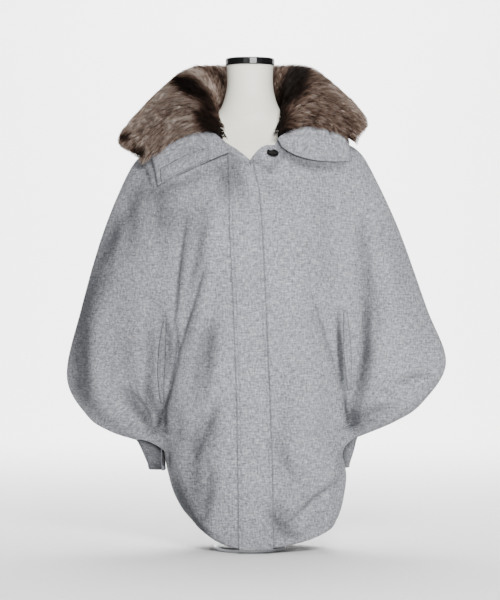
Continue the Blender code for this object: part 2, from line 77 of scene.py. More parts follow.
CUT_MAP = "cut"
FUR_TONE = "fur_tone"
FOLD_SHADE = "fold_shade"
# A wave texture of scale 1 repeats every 0.314 units
WAVE_UNIT = 0.314
# Rays at the front's cloth start this far in front of it
RAY_Y = -600.0
Grid = np.ndarray
Material = bpy.types.Material
Thing = bpy.types.Object
Socket = bpy.types.NodeSocket


class Side(Enum):
    """The wearer's two sides, as the sign of X."""

    LEFT = 1
    RIGHT = -1


class Face(Enum):
    """The two faces of the jacket."""

    FRONT = "front"
    BACK = "back"


F, B = Face.FRONT, Face.BACK


# Colours and nodes


def linear(colour: str) -> tuple[float, float, float, float]:
    """Turns an sRGB hex colour to linear light.

    Args:
        colour: Six hex digits after a hash.

    Returns:
        Red, green, blue and an alpha of 1.
    """
    parts = [int(colour[i : i + 2], 16) / 255 for i in (1, 3, 5)]
    light = [p / 12.92 if p <= 0.04045 else ((p + 0.055) / 1.055) ** 2.4 for p in parts]
    return (light[0], light[1], light[2], 1.0)


def per(size: float) -> float:
    """The scale of a texture whose features have a size in millimetres."""
    return 1 / (size * MM)


class Graph:
    """A material being made, and short ways to add nodes to it."""

    def __init__(self, name: str, **inputs: Any) -> None:
        """Starts the material.

        Args:
            name: Its name.
            inputs: Values of the shader's inputs, with _ for a space.
        """
        self.material = bpy.data.materials.new(name)
        self.material.use_nodes = True
        self.tree = self.material.node_tree
        self.shader = self.tree.nodes["Principled BSDF"]
        self.feed(self.shader, {key.replace("_", " "): value for key, value in inputs.items()})

    def feed(self, node: bpy.types.Node, inputs: dict[str | int, Any]) -> None:
        """Gives a node's inputs a value each, or the output that feeds them.

        Args:
            node: The node.
            inputs: For an input's name or number, a value, or the output that feeds it.
        """
        for name, value in inputs.items():
            if isinstance(value, Socket):
                self.tree.links.new(value, node.inputs[name])
            else:
                node.inputs[name].default_value = value

    def add(self, kind: str, inputs: dict[str | int, Any] | None = None, **settings: Any) -> bpy.types.Node:
        """Adds a node with its settings and its links.

        Args:
            kind: The node's type, without ShaderNode.
            inputs: For an input's name or number, a value, or the output that feeds it.
            settings: Attributes of the node itself.

        Returns:
            The new node.
        """
        node = self.tree.nodes.new(f"ShaderNode{kind}")
        for name, value in settings.items():
            setattr(node, name, value)
        self.feed(node, inputs or {})
        return node

    def cut(self) -> Socket:
        """Places on the flat cut, in metres."""
        return self.add("UVMap", uv_map=CUT_MAP).outputs["UV"]

    def place(self) -> Socket:
        """Places in the object's own space."""
        return self.add("TexCoord").outputs["Object"]

    def noise(self, vector: Socket, scale: float, detail: float = 2.0, **inputs: float) -> Socket:
        """Adds noise."""
        return self.add("TexNoise", {"Vector": vector, "Scale": scale, "Detail": detail, **inputs}).outputs["Fac"]

    def wave(self, vector: Socket, thread: float, way: str = "DIAGONAL", **inputs: float) -> Socket:
        """Adds bands as wide as a thread, with _ for a space in an input's name."""
        rest = {key.replace("_", " "): value for key, value in inputs.items()}
        scale = WAVE_UNIT / (thread * MM)
        return self.add("TexWave", {"Vector": vector, "Scale": scale, **rest}, bands_direction=way).outputs["Fac"]

    def math(self, operation: str, *values: Socket | float, clamp: bool = False) -> Socket:
        """Adds a sum."""
        return self.add("Math", dict(enumerate(values)), operation=operation, use_clamp=clamp).outputs[0]

    def ramp(self, factor: Socket, stops: Sequence[tuple[float, str]]) -> Socket:
        """Adds a colour ramp.

        Args:
            factor: What picks the colour.
            stops: Place and hex colour of each stop.

        Returns:
            The colour.
        """
        node = self.add("ValToRGB", {"Fac": factor})
        elements = node.color_ramp.elements
        while len(elements) < len(stops):
            elements.new(0.5)
        for element, (place, colour) in zip(elements, stops):
            element.position = place
            element.color = linear(colour)
        return node.outputs["Color"]

    def blend(self, share: Socket, first: Any, second: Any) -> Socket:
        """Mixes two colours."""
        return self.add("Mix", {0: share, 6: first, 7: second}, data_type="RGBA").outputs[2]

    def relief(self, height: Socket, depth: float, strength: float = 1.0) -> None:
        """Roughens the surface by bumps of a depth in millimetres."""
        bump = self.add("Bump", {"Height": height, "Strength": strength, "Distance": depth * MM})
        self.feed(self.shader, {"Normal": bump.outputs["Normal"]})

    def uneven_shine(self, factor: Socket, low: float, high: float) -> None:
        """Lets the roughness wander between two values."""
        shine = self.add("MapRange", {"Value": factor, "To Min": low, "To Max": high})
        self.feed(self.shader, {"Roughness": shine.outputs[0]})


@dataclass(frozen=True)
class Finish:
    """What every finish has: a name and a roughness."""

    name: str
    roughness: float

    def start(self, **inputs: Any) -> Graph:
        """Starts the material, with more of the shader's inputs."""
        return Graph(self.name, Roughness=self.roughness, **inputs)


@dataclass(frozen=True)
class WoolFlannel(Finish):
    """Brushed melange flannel: light and dark fibres spun together, a soft nap and crossing slubs."""

    light: str = "#B6B7BB"
    middle: str = "#898A8F"
    dark: str = "#5A5B61"
    # Colour of the painted shade, then colour of the painted highlight
    painted_shade: str = "#1F2024"
    lit: str = "#E8E9EC"
    sheen: str = "#E4E5EA"
    # How far the painted shade goes towards its colour where the fold shade is full
    painted_shade_share: float = 0.8
    fleck_mm: float = 3.6
    slub_mm: tuple[float, float] = (3.2, 11.0)
    slub_share: float = 0.8
    cloud_mm: float = 90.0
    cloud_share: float = 0.22
    tone_range: tuple[float, float] = (1.0, 1.84)
    thread_mm: float = 1.7
    nap_mm: float = 0.22

    def material(self) -> Material:
        """Makes the material. Flecks are drawn coarser than real ones, so that they show."""
        graph = self.start(
            Specular_IOR_Level=0.2, Sheen_Weight=0.03, Sheen_Roughness=0.6, Sheen_Tint=linear(self.sheen)
        )
        cut = graph.cut()
        fleck = graph.noise(cut, per(self.fleck_mm), 2.5, Roughness=0.65)
        slubs = []
        for wide, tall in (self.slub_mm, self.slub_mm[::-1]):
            stretched = graph.add("Mapping", {"Vector": cut, "Scale": (per(wide), per(tall), 1.0)})
            slubs.append(graph.noise(stretched.outputs["Vector"], 1.0, 1.0))
        cloud = graph.noise(cut, per(self.cloud_mm), 3.0)
        slubbed = graph.math("MULTIPLY_ADD", graph.math("ADD", *slubs), self.slub_share, fleck)
        clouded = graph.math("MULTIPLY_ADD", cloud, self.cloud_share, slubbed)
        low, high = self.tone_range
        spread = graph.add("MapRange", {"Value": clouded, "From Min": low, "From Max": high}).outputs[0]
        melange = graph.ramp(spread, [(0.0, self.dark), (0.5, self.middle), (1.0, self.light)])
        # Painted shade darkens the colour deep in keen folds, beside edges and in dusky zones, and a painted highlight
        # lightens it on some ridges
        fold = graph.add("Attribute", attribute_name=FOLD_SHADE).outputs["Fac"]
        deep = graph.math("MULTIPLY", fold, self.painted_shade_share, clamp=True)
        ridge = graph.math("MULTIPLY", fold, -1.0, clamp=True)
        colour = graph.blend(ridge, graph.blend(deep, melange, linear(self.painted_shade)), linear(self.lit))
        weave = [graph.wave(cut, self.thread_mm, way, Distortion=1.2, Detail=1.0, Detail_Scale=0.6) for way in "XY"]
        graph.relief(graph.math("MULTIPLY_ADD", fleck, 1.6, graph.math("MULTIPLY", *weave)), self.nap_mm, 0.5)
        graph.feed(graph.shader, {"Base Color": colour})
        return graph.material


@dataclass(frozen=True)
class Taffeta(Finish):
    """Downproof taffeta lining: a smooth, tight, faintly shining grey weave."""

    colour: str = "#6F7177"
    shade: str = "#5E6066"
    thread_mm: float = 1.0
    relief_mm: float = 0.05

    def material(self) -> Material:
        """Makes the material."""
        graph = self.start()
        threads = graph.wave(graph.cut(), self.thread_mm, Distortion=0.4)
        graph.feed(graph.shader, {"Base Color": graph.ramp(threads, [(0.0, self.shade), (1.0, self.colour)])})
        graph.relief(threads, self.relief_mm)
        return graph.material


@dataclass(frozen=True)
class DenseFur(Finish):
    """Brown fur: near black at the roots and in its stripes, warm brown, with pale pinkish tips."""

    mottle_mm: float = 4.0
    mottle: float = 0.1
    stops: tuple[tuple[float, str], ...] = (
        (0.0, "#0B0A0A"),
        (0.22, "#2C221D"),
        (0.45, "#5F4A3F"),
        (0.68, "#8A786C"),
        (0.86, "#AEA094"),
        (1.0, "#CDC0B6"),
    )

    def material(self) -> Material:
        """Makes the material, whose colour follows each hair's own tone."""
        graph = self.start(Specular_IOR_Level=0.02)
        tone = graph.add("Attribute", attribute_name=FUR_TONE).outputs["Fac"]
        mottle = graph.noise(graph.place(), per(self.mottle_mm), 1.0)
        mixed = graph.math("MULTIPLY_ADD", mottle, self.mottle, tone)
        level = graph.math("SUBTRACT", mixed, self.mottle / 2)
        graph.feed(graph.shader, {"Base Color": graph.ramp(level, self.stops)})
        return graph.material


@dataclass(frozen=True)
class PolishedHorn(Finish):
    """Polished dark horn: nearly black, with faint brown streaks under a clear gloss."""

    colour: str = "#070606"
    streak: str = "#15110E"
    streak_mm: float = 6.0

    def material(self) -> Material:
        """Makes the material."""
        graph = self.start(Specular_IOR_Level=0.06)
        streaks = graph.noise(graph.place(), per(self.streak_mm), 3.0, Distortion=1.5)
        graph.feed(graph.shader, {"Base Color": graph.ramp(streaks, [(0.45, self.colour), (0.75, self.streak)])})
        return graph.material


@dataclass(frozen=True)
class MouldedShell(Finish):
    """Moulded display shell: smooth ivory with the slight orange-peel of a sprayed coat."""

    colour: str = "#F6F4E8"
    shade: str = "#EFECDC"
    tint_mm: float = 60.0
    peel_mm: float = 1.6
    relief_mm: float = 0.05

    def material(self) -> Material:
        """Makes the material."""
        graph = self.start()
        place = graph.place()
        tint = graph.noise(place, per(self.tint_mm))
        graph.feed(graph.shader, {"Base Color": graph.ramp(tint, [(0.3, self.shade), (0.7, self.colour)])})
        graph.relief(graph.noise(place, per(self.peel_mm)), self.relief_mm, 0.15)
        return graph.material


@dataclass(frozen=True)
class GlossBlack(Finish):
    """Gloss black moulded cap, with fine rubbing that varies its shine."""

    colour: str = "#0C0C0D"
    rubbing_mm: float = 5.0

    def material(self) -> Material:
        """Makes the material."""
        graph = self.start(Base_Color=linear(self.colour))
        rubbing = graph.noise(graph.place(), per(self.rubbing_mm), 4.0)
        graph.uneven_shine(rubbing, self.roughness * 0.6, self.roughness * 1.5)
        return graph.material


@dataclass(frozen=True)
class SatinSteel(Finish):
    """Brushed stainless steel: fine level scratches that stretch its highlights."""

    colour: str = "#B9BBBE"
    grain_mm: float = 0.8
    grain_long: float = 20.0

    def material(self) -> Material:
        """Makes the material."""
        graph = self.start(Base_Color=linear(self.colour), Metallic=1.0)
        scale = (self.grain_long, self.grain_long, per(self.grain_mm))
        drawn = graph.add("Mapping", {"Vector": graph.place(), "Scale": scale})
        grain = graph.noise(drawn.outputs["Vector"], 1.0)
        graph.uneven_shine(grain, self.roughness * 0.7, self.roughness * 1.4)
        return graph.material


@dataclass(frozen=True)
class SewingThread(Finish):
    """Spun polyester thread, a shade darker than the cloth, with its twist as fine bands."""

    colour: str = "#8C8E94"
    shade: str = "#77797F"
    twist_mm: float = 0.6

    def material(self) -> Material:
        """Makes the material."""
        graph = self.start()
        twist = graph.wave(graph.place(), self.twist_mm)
        graph.feed(graph.shader, {"Base Color": graph.ramp(twist, [(0.0, self.shade), (1.0, self.colour)])})
        return graph.material


@dataclass
class Wardrobe:
    """Every finish of the object, each made once."""

    wool: Material = field(default_factory=WoolFlannel("brushed_wool_flannel", 0.92).material)
    lining: Material = field(default_factory=Taffeta("downproof_taffeta", 0.45).material)
    fur: Material = field(default_factory=DenseFur("dense_brown_fur", 0.6).material)
    horn: Material = field(default_factory=PolishedHorn("polished_dark_horn", 0.5).material)
    shell: Material = field(default_factory=MouldedShell("sprayed_ivory_shell", 0.5).material)
    cap: Material = field(default_factory=GlossBlack("gloss_black_cap", 0.22).material)
    steel: Material = field(default_factory=SatinSteel("brushed_stainless_steel", 0.32).material)
    thread: Material = field(default_factory=SewingThread("spun_polyester_thread", 0.7).material)


# Grids


def bell(away: Grid, width: float) -> Grid:
    """A smooth share that is 1 at a distance of 0 and next to nothing past twice the width."""
    return np.exp(-((away / width) ** 2))


def curve(first: Grid, middle: Grid, last: Grid, share: Grid) -> Grid:
    """Points on a smooth curve that starts at one place, passes through a second and ends at a third."""
    pull = 2 * middle - (first + last) / 2
    return (1 - share) ** 2 * first + 2 * share * (1 - share) * pull + share**2 * last


def unit(vectors: Grid, least: float = 1e-6) -> Grid:
    """Vectors of length 1 along the last axis."""
    return vectors / np.maximum(np.linalg.norm(vectors, axis=-1, keepdims=True), least)


def lengths(points: Grid, axis: int) -> Grid:
    """For each point of a grid, how far it is from its first column (axis 1) or row (axis 0).

    Args:
        points: The grid.
        axis: 1 for the way along rows, 0 for the way along columns.

    Returns:
        A distance for each point.
    """
    steps = np.linalg.norm(np.diff(points, axis=axis), axis=2)
    start = np.zeros_like(steps[:, :1] if axis else steps[:1])
    return np.concatenate([start, np.cumsum(steps, axis=axis)], axis=axis)


def cell_areas(points: Grid) -> Grid:
    """The area of each cell of a grid, in square millimetres."""
    side, up = np.diff(points, axis=1)[:-1], np.diff(points, axis=0)[:, :-1]
    return np.linalg.norm(np.cross(side, up), axis=2)


def grid_normals(points: Grid, closed: bool = False) -> Grid:
    """Unit normals of a grid whose rows go up and whose columns go to the right.

    Args:
        points: The grid.
        closed: Whether its columns go all the way round.

    Returns:
        A normal for each point.
    """
    if closed:
        wide = np.concatenate([points[:, -2:-1], points, points[:, 1:2]], axis=1)
        across = wide[:, 2:] - wide[:, :-2]
    else:
        across = np.gradient(points, axis=1)
    return unit(np.cross(across, np.gradient(points, axis=0)), 1e-9)


def lay_flat(points: Grid, start: int) -> Grid:
    """Lays a grid out as its flat cut, so that threads keep their length over folds and edges.

    Args:
        points: The grid.
        start: The column that stays upright, such as the middle of a panel.

    Returns:
        Two flat coordinates for each point.
    """
    rows, columns = points.shape[:2]
    flat = np.zeros((rows, columns, 2))
    flat[:, start, 1] = lengths(points, 0)[:, start]
    for way in (1, -1):
        heading = np.tile([float(way), 0.0], (rows, 1))
        column = start
        while 0 <= column + way < columns:
            step = points[:, column + way] - points[:, column]
            long = np.linalg.norm(step, axis=1)
            seen = step[:, [0, 2]]
            shown = np.linalg.norm(seen, axis=1)
            clear = shown > 0.35 * long
            heading[clear] = seen[clear] / shown[clear, None]
            flat[:, column + way] = flat[:, column] + heading * long[:, None]
            column += way
    return flat


def lay_straight(points: Grid) -> Grid:
    """Lays a small grid out flat by the mean lengths of its rows and columns.

    Args:
        points: The grid.

    Returns:
        A place in the plane for each point.
    """
    wide = np.linalg.norm(np.diff(points, axis=1), axis=2).mean(axis=0)
    tall = np.linalg.norm(np.diff(points, axis=0), axis=2).mean(axis=1)
    across, up = (np.concatenate([[0.0], np.cumsum(steps)]) for steps in (wide, tall))
    return np.stack(np.meshgrid(across, up), axis=2)


def smooth_rows(table: Sequence[Sequence[float]] | Grid, at: Grid) -> Grid:
    """Rows of a table at places between its own rows, on smooth curves through them.

    Args:
        table: The rows.
        at: The places, where 0 is the first row.

    Returns:
        One row for each place.
    """
    table = np.array(table, dtype=float)
    last = len(table) - 1
    low = np.clip(at.astype(int), 0, last - 1)
    t = (at - low)[:, None]
    b, c = table[low], table[low + 1]
    a, d = table[np.maximum(low - 1, 0)], table[np.minimum(low + 2, last)]
    slope_in, slope_out, rise = (c - a) / 2, (d - b) / 2, c - b
    bend, twist = 3 * rise - 2 * slope_in - slope_out, slope_in + slope_out - 2 * rise
    return b + t * slope_in + t**2 * bend + t**3 * twist


# Meshes


def add_object(name: str, mesh: bpy.types.Mesh, materials: Sequence[Material]) -> Thing:
    """Puts a mesh in the scene, with its finishes.

    Args:
        name: The piece's name.
        mesh: Its mesh.
        materials: Its finishes.

    Returns:
        The new object.
    """
    for material in materials:
        mesh.materials.append(material)
    piece = bpy.data.objects.new(name, mesh)
    bpy.context.scene.collection.objects.link(piece)
    LOG.info("%s: %d faces", name, len(mesh.polygons))
    return piece


def as_object(name: str, maker: bmesh.types.BMesh, materials: Sequence[Material]) -> Thing:
    """Makes an object of a bmesh that is in metres.

    Args:
        name: The piece's name.
        maker: The finished bmesh, which is freed.
        materials: Its finishes.

    Returns:
        The new object, at the origin.
    """
    mesh = bpy.data.meshes.new(name)
    maker.to_mesh(mesh)
    maker.free()
    return add_object(name, mesh, materials)


def patch(
    name: str,
    points: Grid,
    cut: Grid | None,
    materials: Sequence[Material],
    holes: Sequence[tuple[int, int]] = (),
    closed: bool = False,
    shade: Grid | None = None,
) -> Thing:
    """Lays a fine grid on a worked-out surface.

    Args:
        name: The piece's name.
        points: Rows, columns and places, rows going up and columns to the right.
        cut: The same grid laid out flat, for the weave.
        materials: The outer finish, then the inner one if there is one.
        holes: The cells, as row and column, that are left open.
        closed: Whether the last column meets the first one.
        shade: For each point, how far it lies in the shade, or in the light where it is below 0.

    Returns:
        The new object, one layer thick.
    """
    rows, columns = points.shape[:2]
    maker = bmesh.new()
    bmesh.ops.create_grid(maker, x_segments=columns - 1, y_segments=rows - 1, size=1.0)
    maker.verts.ensure_lookup_table()
    for vertex, place in zip(maker.verts, points.reshape(-1, 3) * MM):
        vertex.co = place
    if shade is not None:
        layer = maker.verts.layers.float.new(FOLD_SHADE)
        for vertex, dark in zip(maker.verts, shade.ravel()):
            vertex[layer] = float(min(1.0, dark))
    if cut is not None:
        flat = cut.reshape(-1, 2) * MM
        area = cell_areas(points).sum() * MM * MM
        LOG.info("%s: cloth %.4f m2, laid flat %s m", name, area, np.ptp(flat, axis=0).round(3))
        layer = maker.loops.layers.uv.new(CUT_MAP)
        for face in maker.faces:
            for loop in face.loops:
                loop[layer].uv = flat[loop.vert.index]
    if holes:
        maker.faces.ensure_lookup_table()
        gone = [maker.faces[row * (columns - 1) + column] for row, column in holes]
        bmesh.ops.delete(maker, geom=gone, context="FACES")
    if closed:
        bmesh.ops.remove_doubles(maker, verts=maker.verts, dist=1e-6)
    for face in maker.faces:
        face.smooth = True
    return as_object(name, maker, materials)


def thicken(piece: Thing, wall: float, lined: bool = False) -> None:
    """Gives a patch its thickness, inwards.

    Args:
        piece: The patch.
        wall: Its thickness.
        lined: Whether its inner side takes the second finish.
    """
    solid = piece.modifiers.new("wall", "SOLIDIFY")
    solid.thickness = wall * MM
    solid.offset = -1.0
    solid.use_rim = True
    solid.use_quality_normals = True
    if lined:
        solid.material_offset = 1


class Cut(NamedTuple):
    """A panel's flat size in metres, and its flat area in square metres."""

    width: float
    length: float
    area: float


def hand_over(
    piece: Thing, node: str
) -> None:
    """Hides the solid that a finished sheet replaces, and fixes the sheet to the body.

    Args:
        piece: The sheet.
        node: The solid that it replaces.
    """
    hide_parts(node)
    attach(piece, BODY)


# Sewing


@dataclass
class Stitches:
    """Rows of lockstitch: small thread ovals sunk a little into the cloth."""

    length: float = 2.6
    pitch: float = 4.0
    radius: float = 0.42
    places: list[tuple[Vector, Vector, Vector]] = field(default_factory=list)

    def row(self, path: Grid, normals: Grid) -> None:
        """Adds a row along a path.

        Args:
            path: Points on the cloth.
            normals: The cloth's normal at each point.
        """
        reach = lengths(path[None], 1)[0]
        for i in range(int(reach[-1] / self.pitch)):
            along = (i + 0.5) * self.pitch
            spot, ahead, out = (
                Vector([np.interp(at, reach, table[:, k]) for k in range(3)])
                for at, table in ((along, path), (along + 1, path), (along, normals))
            )
            if (ahead - spot).length > 1e-6:
                self.places.append((spot, (ahead - spot).normalized(), out.normalized()))

    def build(self, name: str, material: Material) -> Thing:
        """Joins all rows into one mesh.

        Args:
            name: The piece's name.
            material: The thread.

        Returns:
            The new object.
        """
        pattern = bmesh.new()
        bmesh.ops.create_uvsphere(pattern, u_segments=6, v_segments=4, radius=1.0)
        pattern.verts.ensure_lookup_table()
        shape = np.array([v.co[:] for v in pattern.verts])
        faces = [[v.index for v in f.verts] for f in pattern.faces]
        pattern.free()
        verts: list[Grid] = []
        polygons: list[list[int]] = []
        for spot, run, out in self.places:
            side = out.cross(run).normalized()
            frame = np.array([side * self.radius, out * self.radius, run * (self.length / 2)])
            start = len(verts) * len(shape)
            verts.append((shape @ frame + np.array(spot)) * MM)
            polygons += [[start + i for i in face] for face in faces]
        mesh = bpy.data.meshes.new(name)
        mesh.from_pydata(np.concatenate(verts).tolist(), [], polygons)
        mesh.shade_smooth()
        return add_object(name, mesh, [material])


# The jacket's form


class Section(NamedTuple):
    """A ring of the jacket: heights and depths of its middle and its sides."""

    front_z: Any
    left_x: Any
    left_z: Any
    right_x: Any
    right_z: Any
    back_z: Any
    front_y: Any
    back_y: Any
    front_wing: Any
    back_wing: Any
    left_bulge: Any
    right_bulge: Any


class Crease(NamedTuple):
    """A soft ridge, or a trough where the height is below 0, from start over middle to end.

    A sharp one has a keen line at its bottom, as a pressed fold has.
    """

    face: Face
    start: tuple[float, float]
    middle: tuple[float, float]
    end: tuple[float, float]
    height: float
    width: float
    sharp: bool = False


class Dusk(NamedTuple):
    """A soft dusky zone along a curve, where folds keep the light off, or a lit one below 0."""

    face: Face
    start: tuple[float, float]
    middle: tuple[float, float]
    end: tuple[float, float]
    width: float
    strength: float


def along_curves(kind: type, front: Sequence[tuple], back: Sequence[tuple] = ()) -> list[Any]:
    """Makes a table of creases or dusks.

    Args:
        kind: What each row is.
        front: Rows of the front: x and z of start, middle and end, then the kind's own values.
        back: Rows of the back.

    Returns:
        The table.
    """
    return [
        kind(face, row[0:2], row[2:4], row[4:6], *row[6:]) for face, rows in ((F, front), (B, back)) for row in rows
    ]


# From the neckline to the wings' lower ends
WING_SECTIONS = [
    (756, 76, 850, 76, 850, 852, 92, 66, 92, 66, 0, 0),
    (734, 104, 835.6, 104, 835.6, 834, 104, 80, 100, 78, 0, 0),
    (711, 138.4, 817.4, 138.4, 817.4, 811, 113, 93, 104, 86, 0, 0),
    (684, 178, 796, 180, 797, 783, 120, 104, 104, 88, 0, 0),
    (655, 210, 772, 212, 778, 752, 127, 112, 100, 84, 0, 0),
    (618, 240, 732, 237, 741, 712, 134, 117, 95, 80, 0, 0),
    (530, 288, 617, 290, 628, 606, 141, 123, 84, 74, 0, 0),
    (425, 330, 472, 346, 472, 470, 141, 127, 74, 70, 0, 0),
    (325, 359, 338, 384, 364, 345, 141, 131, 64, 62, 0, 0),
    (264, 320, 261, 337, 285, 266, 141, 134, 54, 52, 0, 0),
    (240, 276, 230, 285, 249, 240, 141, 135, 50, 48, 0, 0),
    (223, 225, 213, 213, 219, 221, 141, 136, 46, 46, 0, 0),
]

# From the cuffs to the hem
BODY_SECTIONS = [
    (206, 172, 205, 163, 206, 206, 141, 136, 141, 136, 4, 34),
    (160, 160, 151, 168, 150, 160, 140, 137, 140, 137, 4, 50),
    (115, 149, 112, 171, 105, 115, 137, 136, 137, 136, 2, 36),
    (63, 131, 78, 166, 72, 66, 129, 130, 129, 130, 0, 28),
    (9, 106, 50, 156, 49, 24, 117, 121, 117, 121, 0, 22),
]

# The folds that the solids have too. Each row: x and z of start, middle and end, height, width, keen
MAIN_FOLDS = along_curves(
    Crease,
    front=[
        (-99, 560, -120, 462, -141, 352, -13, 15),
        (-118, 650, -136, 540, -146, 430, -7, 15),
        (-141, 352, -161, 291, -186, 228, -13, 14),
        (-203, 470, -206, 380, -212, 270, -6, 22),
        (-245, 318, -212, 300, -192, 250, -8, 15),
        (228, 650, 232, 500, 238, 410, -13, 30),
        (238, 410, 220, 330, 200, 262, -13, 26),
        (283, 318, 316, 336, 352, 342, -6, 16),
        (123, 490, 150, 400, 178, 318, -5, 15),
        (176, 134, 112, 98, 76, 34, -8, 14),
        (-62, 280, -92, 190, -76, 84, -6, 26),
    ],
    back=[
        (222, 655, 236, 500, 226, 330, 12, 30),
        (-218, 640, -226, 480, -214, 320, 12, 30),
        (112, 600, 132, 400, 150, 240, 9, 26),
        (-108, 610, -126, 420, -146, 250, 9, 26),
        (20, 560, 36, 360, 30, 160, 6, 34),
    ],
)

# The finer creases, of the front as they show there, and like ones on the back
FINE_CREASES = along_curves(
    Crease,
    front=[
        (-89, 540, -116, 450, -138, 380, -9, 3.6, True),
        (-94, 600, -98, 540, -114, 480, -5, 13),
        (-122, 642, -136, 532, -146, 428, -7, 3.4, True),
        (-146, 450, -138, 400, -140, 352, -6, 3.2, True),
        (-138, 400, -155, 306, -186, 228, -14, 3.4, True),
        (-161, 286, -163, 256, -162, 230, -9, 3.2, True),
        (-154, 200, -155, 180, -154, 158, -4, 3.2, True),
        (-248, 313, -216, 297, -190, 250, -4, 3.6, True),
        (-222, 306, -212, 272, -196, 240, -7, 13),
        (-251, 292, -242, 281, -231, 272, -2.6, 4),
        (-240, 525, -196, 487, -158, 452, -6, 7),
        (-262, 540, -210, 470, -196, 380, 5, 22),
        (-181, 450, -183, 350, -185, 262, 4, 8),
        (-203, 450, -203, 350, -206, 250, -4.6, 8),
        (-224, 680, -246, 610, -262, 540, -6, 13),
        (-262, 650, -286, 590, -302, 520, -5, 10),
        (-286, 500, -300, 420, -298, 310, 6, 20),
        (-314, 470, -330, 400, -322, 320, -6, 14),
        (-160, 640, -172, 580, -190, 520, -4, 12),
        (-66, 288, -88, 226, -104, 176, -6, 9),
        (-74, 168, -74, 122, -92, 72, -6, 10),
        (-100, 250, -118, 190, -122, 130, 4, 16),
        (224, 640, 220, 560, 226, 492, -8, 11),
        (228, 500, 240, 452, 232, 372, -8, 11),
        (230, 392, 218, 320, 196, 250, -8, 9),
        (250, 620, 262, 520, 284, 420, 5, 18),
        (283, 321, 316, 338, 350, 342, -5, 4.6, True),
        (250, 311, 266, 308, 283, 302, -4, 4.4, True),
        (222, 290, 264, 292, 304, 297, 5, 7),
        (212, 276, 250, 268, 282, 262, -7, 12),
        (183, 320, 187, 268, 197, 226, -9, 3.4, True),
        (196, 300, 196, 262, 206, 226, -4, 5),
        (123, 490, 150, 400, 181, 308, -4, 4.6, True),
        (46, 196, 58, 182, 70, 164, -5, 6),
        (86, 140, 96, 126, 108, 116, -5, 6),
        (60, 236, 66, 150, 74, 56, -5, 12),
        (168, 138, 128, 110, 76, 62, -6, 4.4, True),
        (168, 112, 132, 88, 92, 52, 6, 13),
        (74, 38, 84, 32, 100, 36, -4, 5),
        (214, 250, 196, 244, 178, 236, -4, 4.5, True),
        (262, 262, 228, 250, 196, 224, -3.6, 4.6),
        (-258, 250, -228, 240, -200, 222, -3.6, 4.6),
        (66, 774, 46, 750, 24, 728, -5, 7),
        (56, 783, 108, 759, 190, 752, -5, 3, True),
        (-208, 762, -199, 732, -188, 702, -5, 3, True),
        (28, 780, 44, 786, 62, 778, 2, 5),
        (150, 690, 160, 600, 158, 500, -4, 18),
        (-170, 720, -176, 680, -170, 640, -3, 16),
        (60, 660, 66, 580, 64, 480, -3, 14),
        (-60, 640, -64, 520, -60, 400, -3, 14),
        (90, 440, 104, 350, 104, 260, -4, 14),
        (128, 300, 136, 240, 130, 180, 4, 16),
    ],
    back=[
        (-150, 560, -158, 460, -172, 370, -4, 7),
        (-172, 372, -180, 300, -192, 236, -7, 4.2, True),
        (158, 540, 166, 450, 172, 372, -4.4, 7),
        (172, 376, 184, 300, 194, 236, -7, 4.2, True),
        (-252, 300, -226, 284, -196, 250, -4, 4.4, True),
        (262, 312, 230, 288, 200, 252, -4, 4.4, True),
        (66, 250, 84, 200, 104, 160, -3, 8),
        (-40, 210, -64, 160, -90, 110, -3.4, 9),
        (140, 130, 100, 96, 64, 66, -4.4, 5.4, True),
        (-128, 140, -104, 100, -70, 70, -3.6, 6),
        (-60, 700, -54, 620, -62, 540, -2.6, 18),
        (70, 690, 66, 620, 74, 530, -2.6, 18),
        (-150, 700, -172, 640, -178, 580, -2.6, 20),
        (164, 690, 180, 620, 186, 560, -2.6, 20),
    ],
)

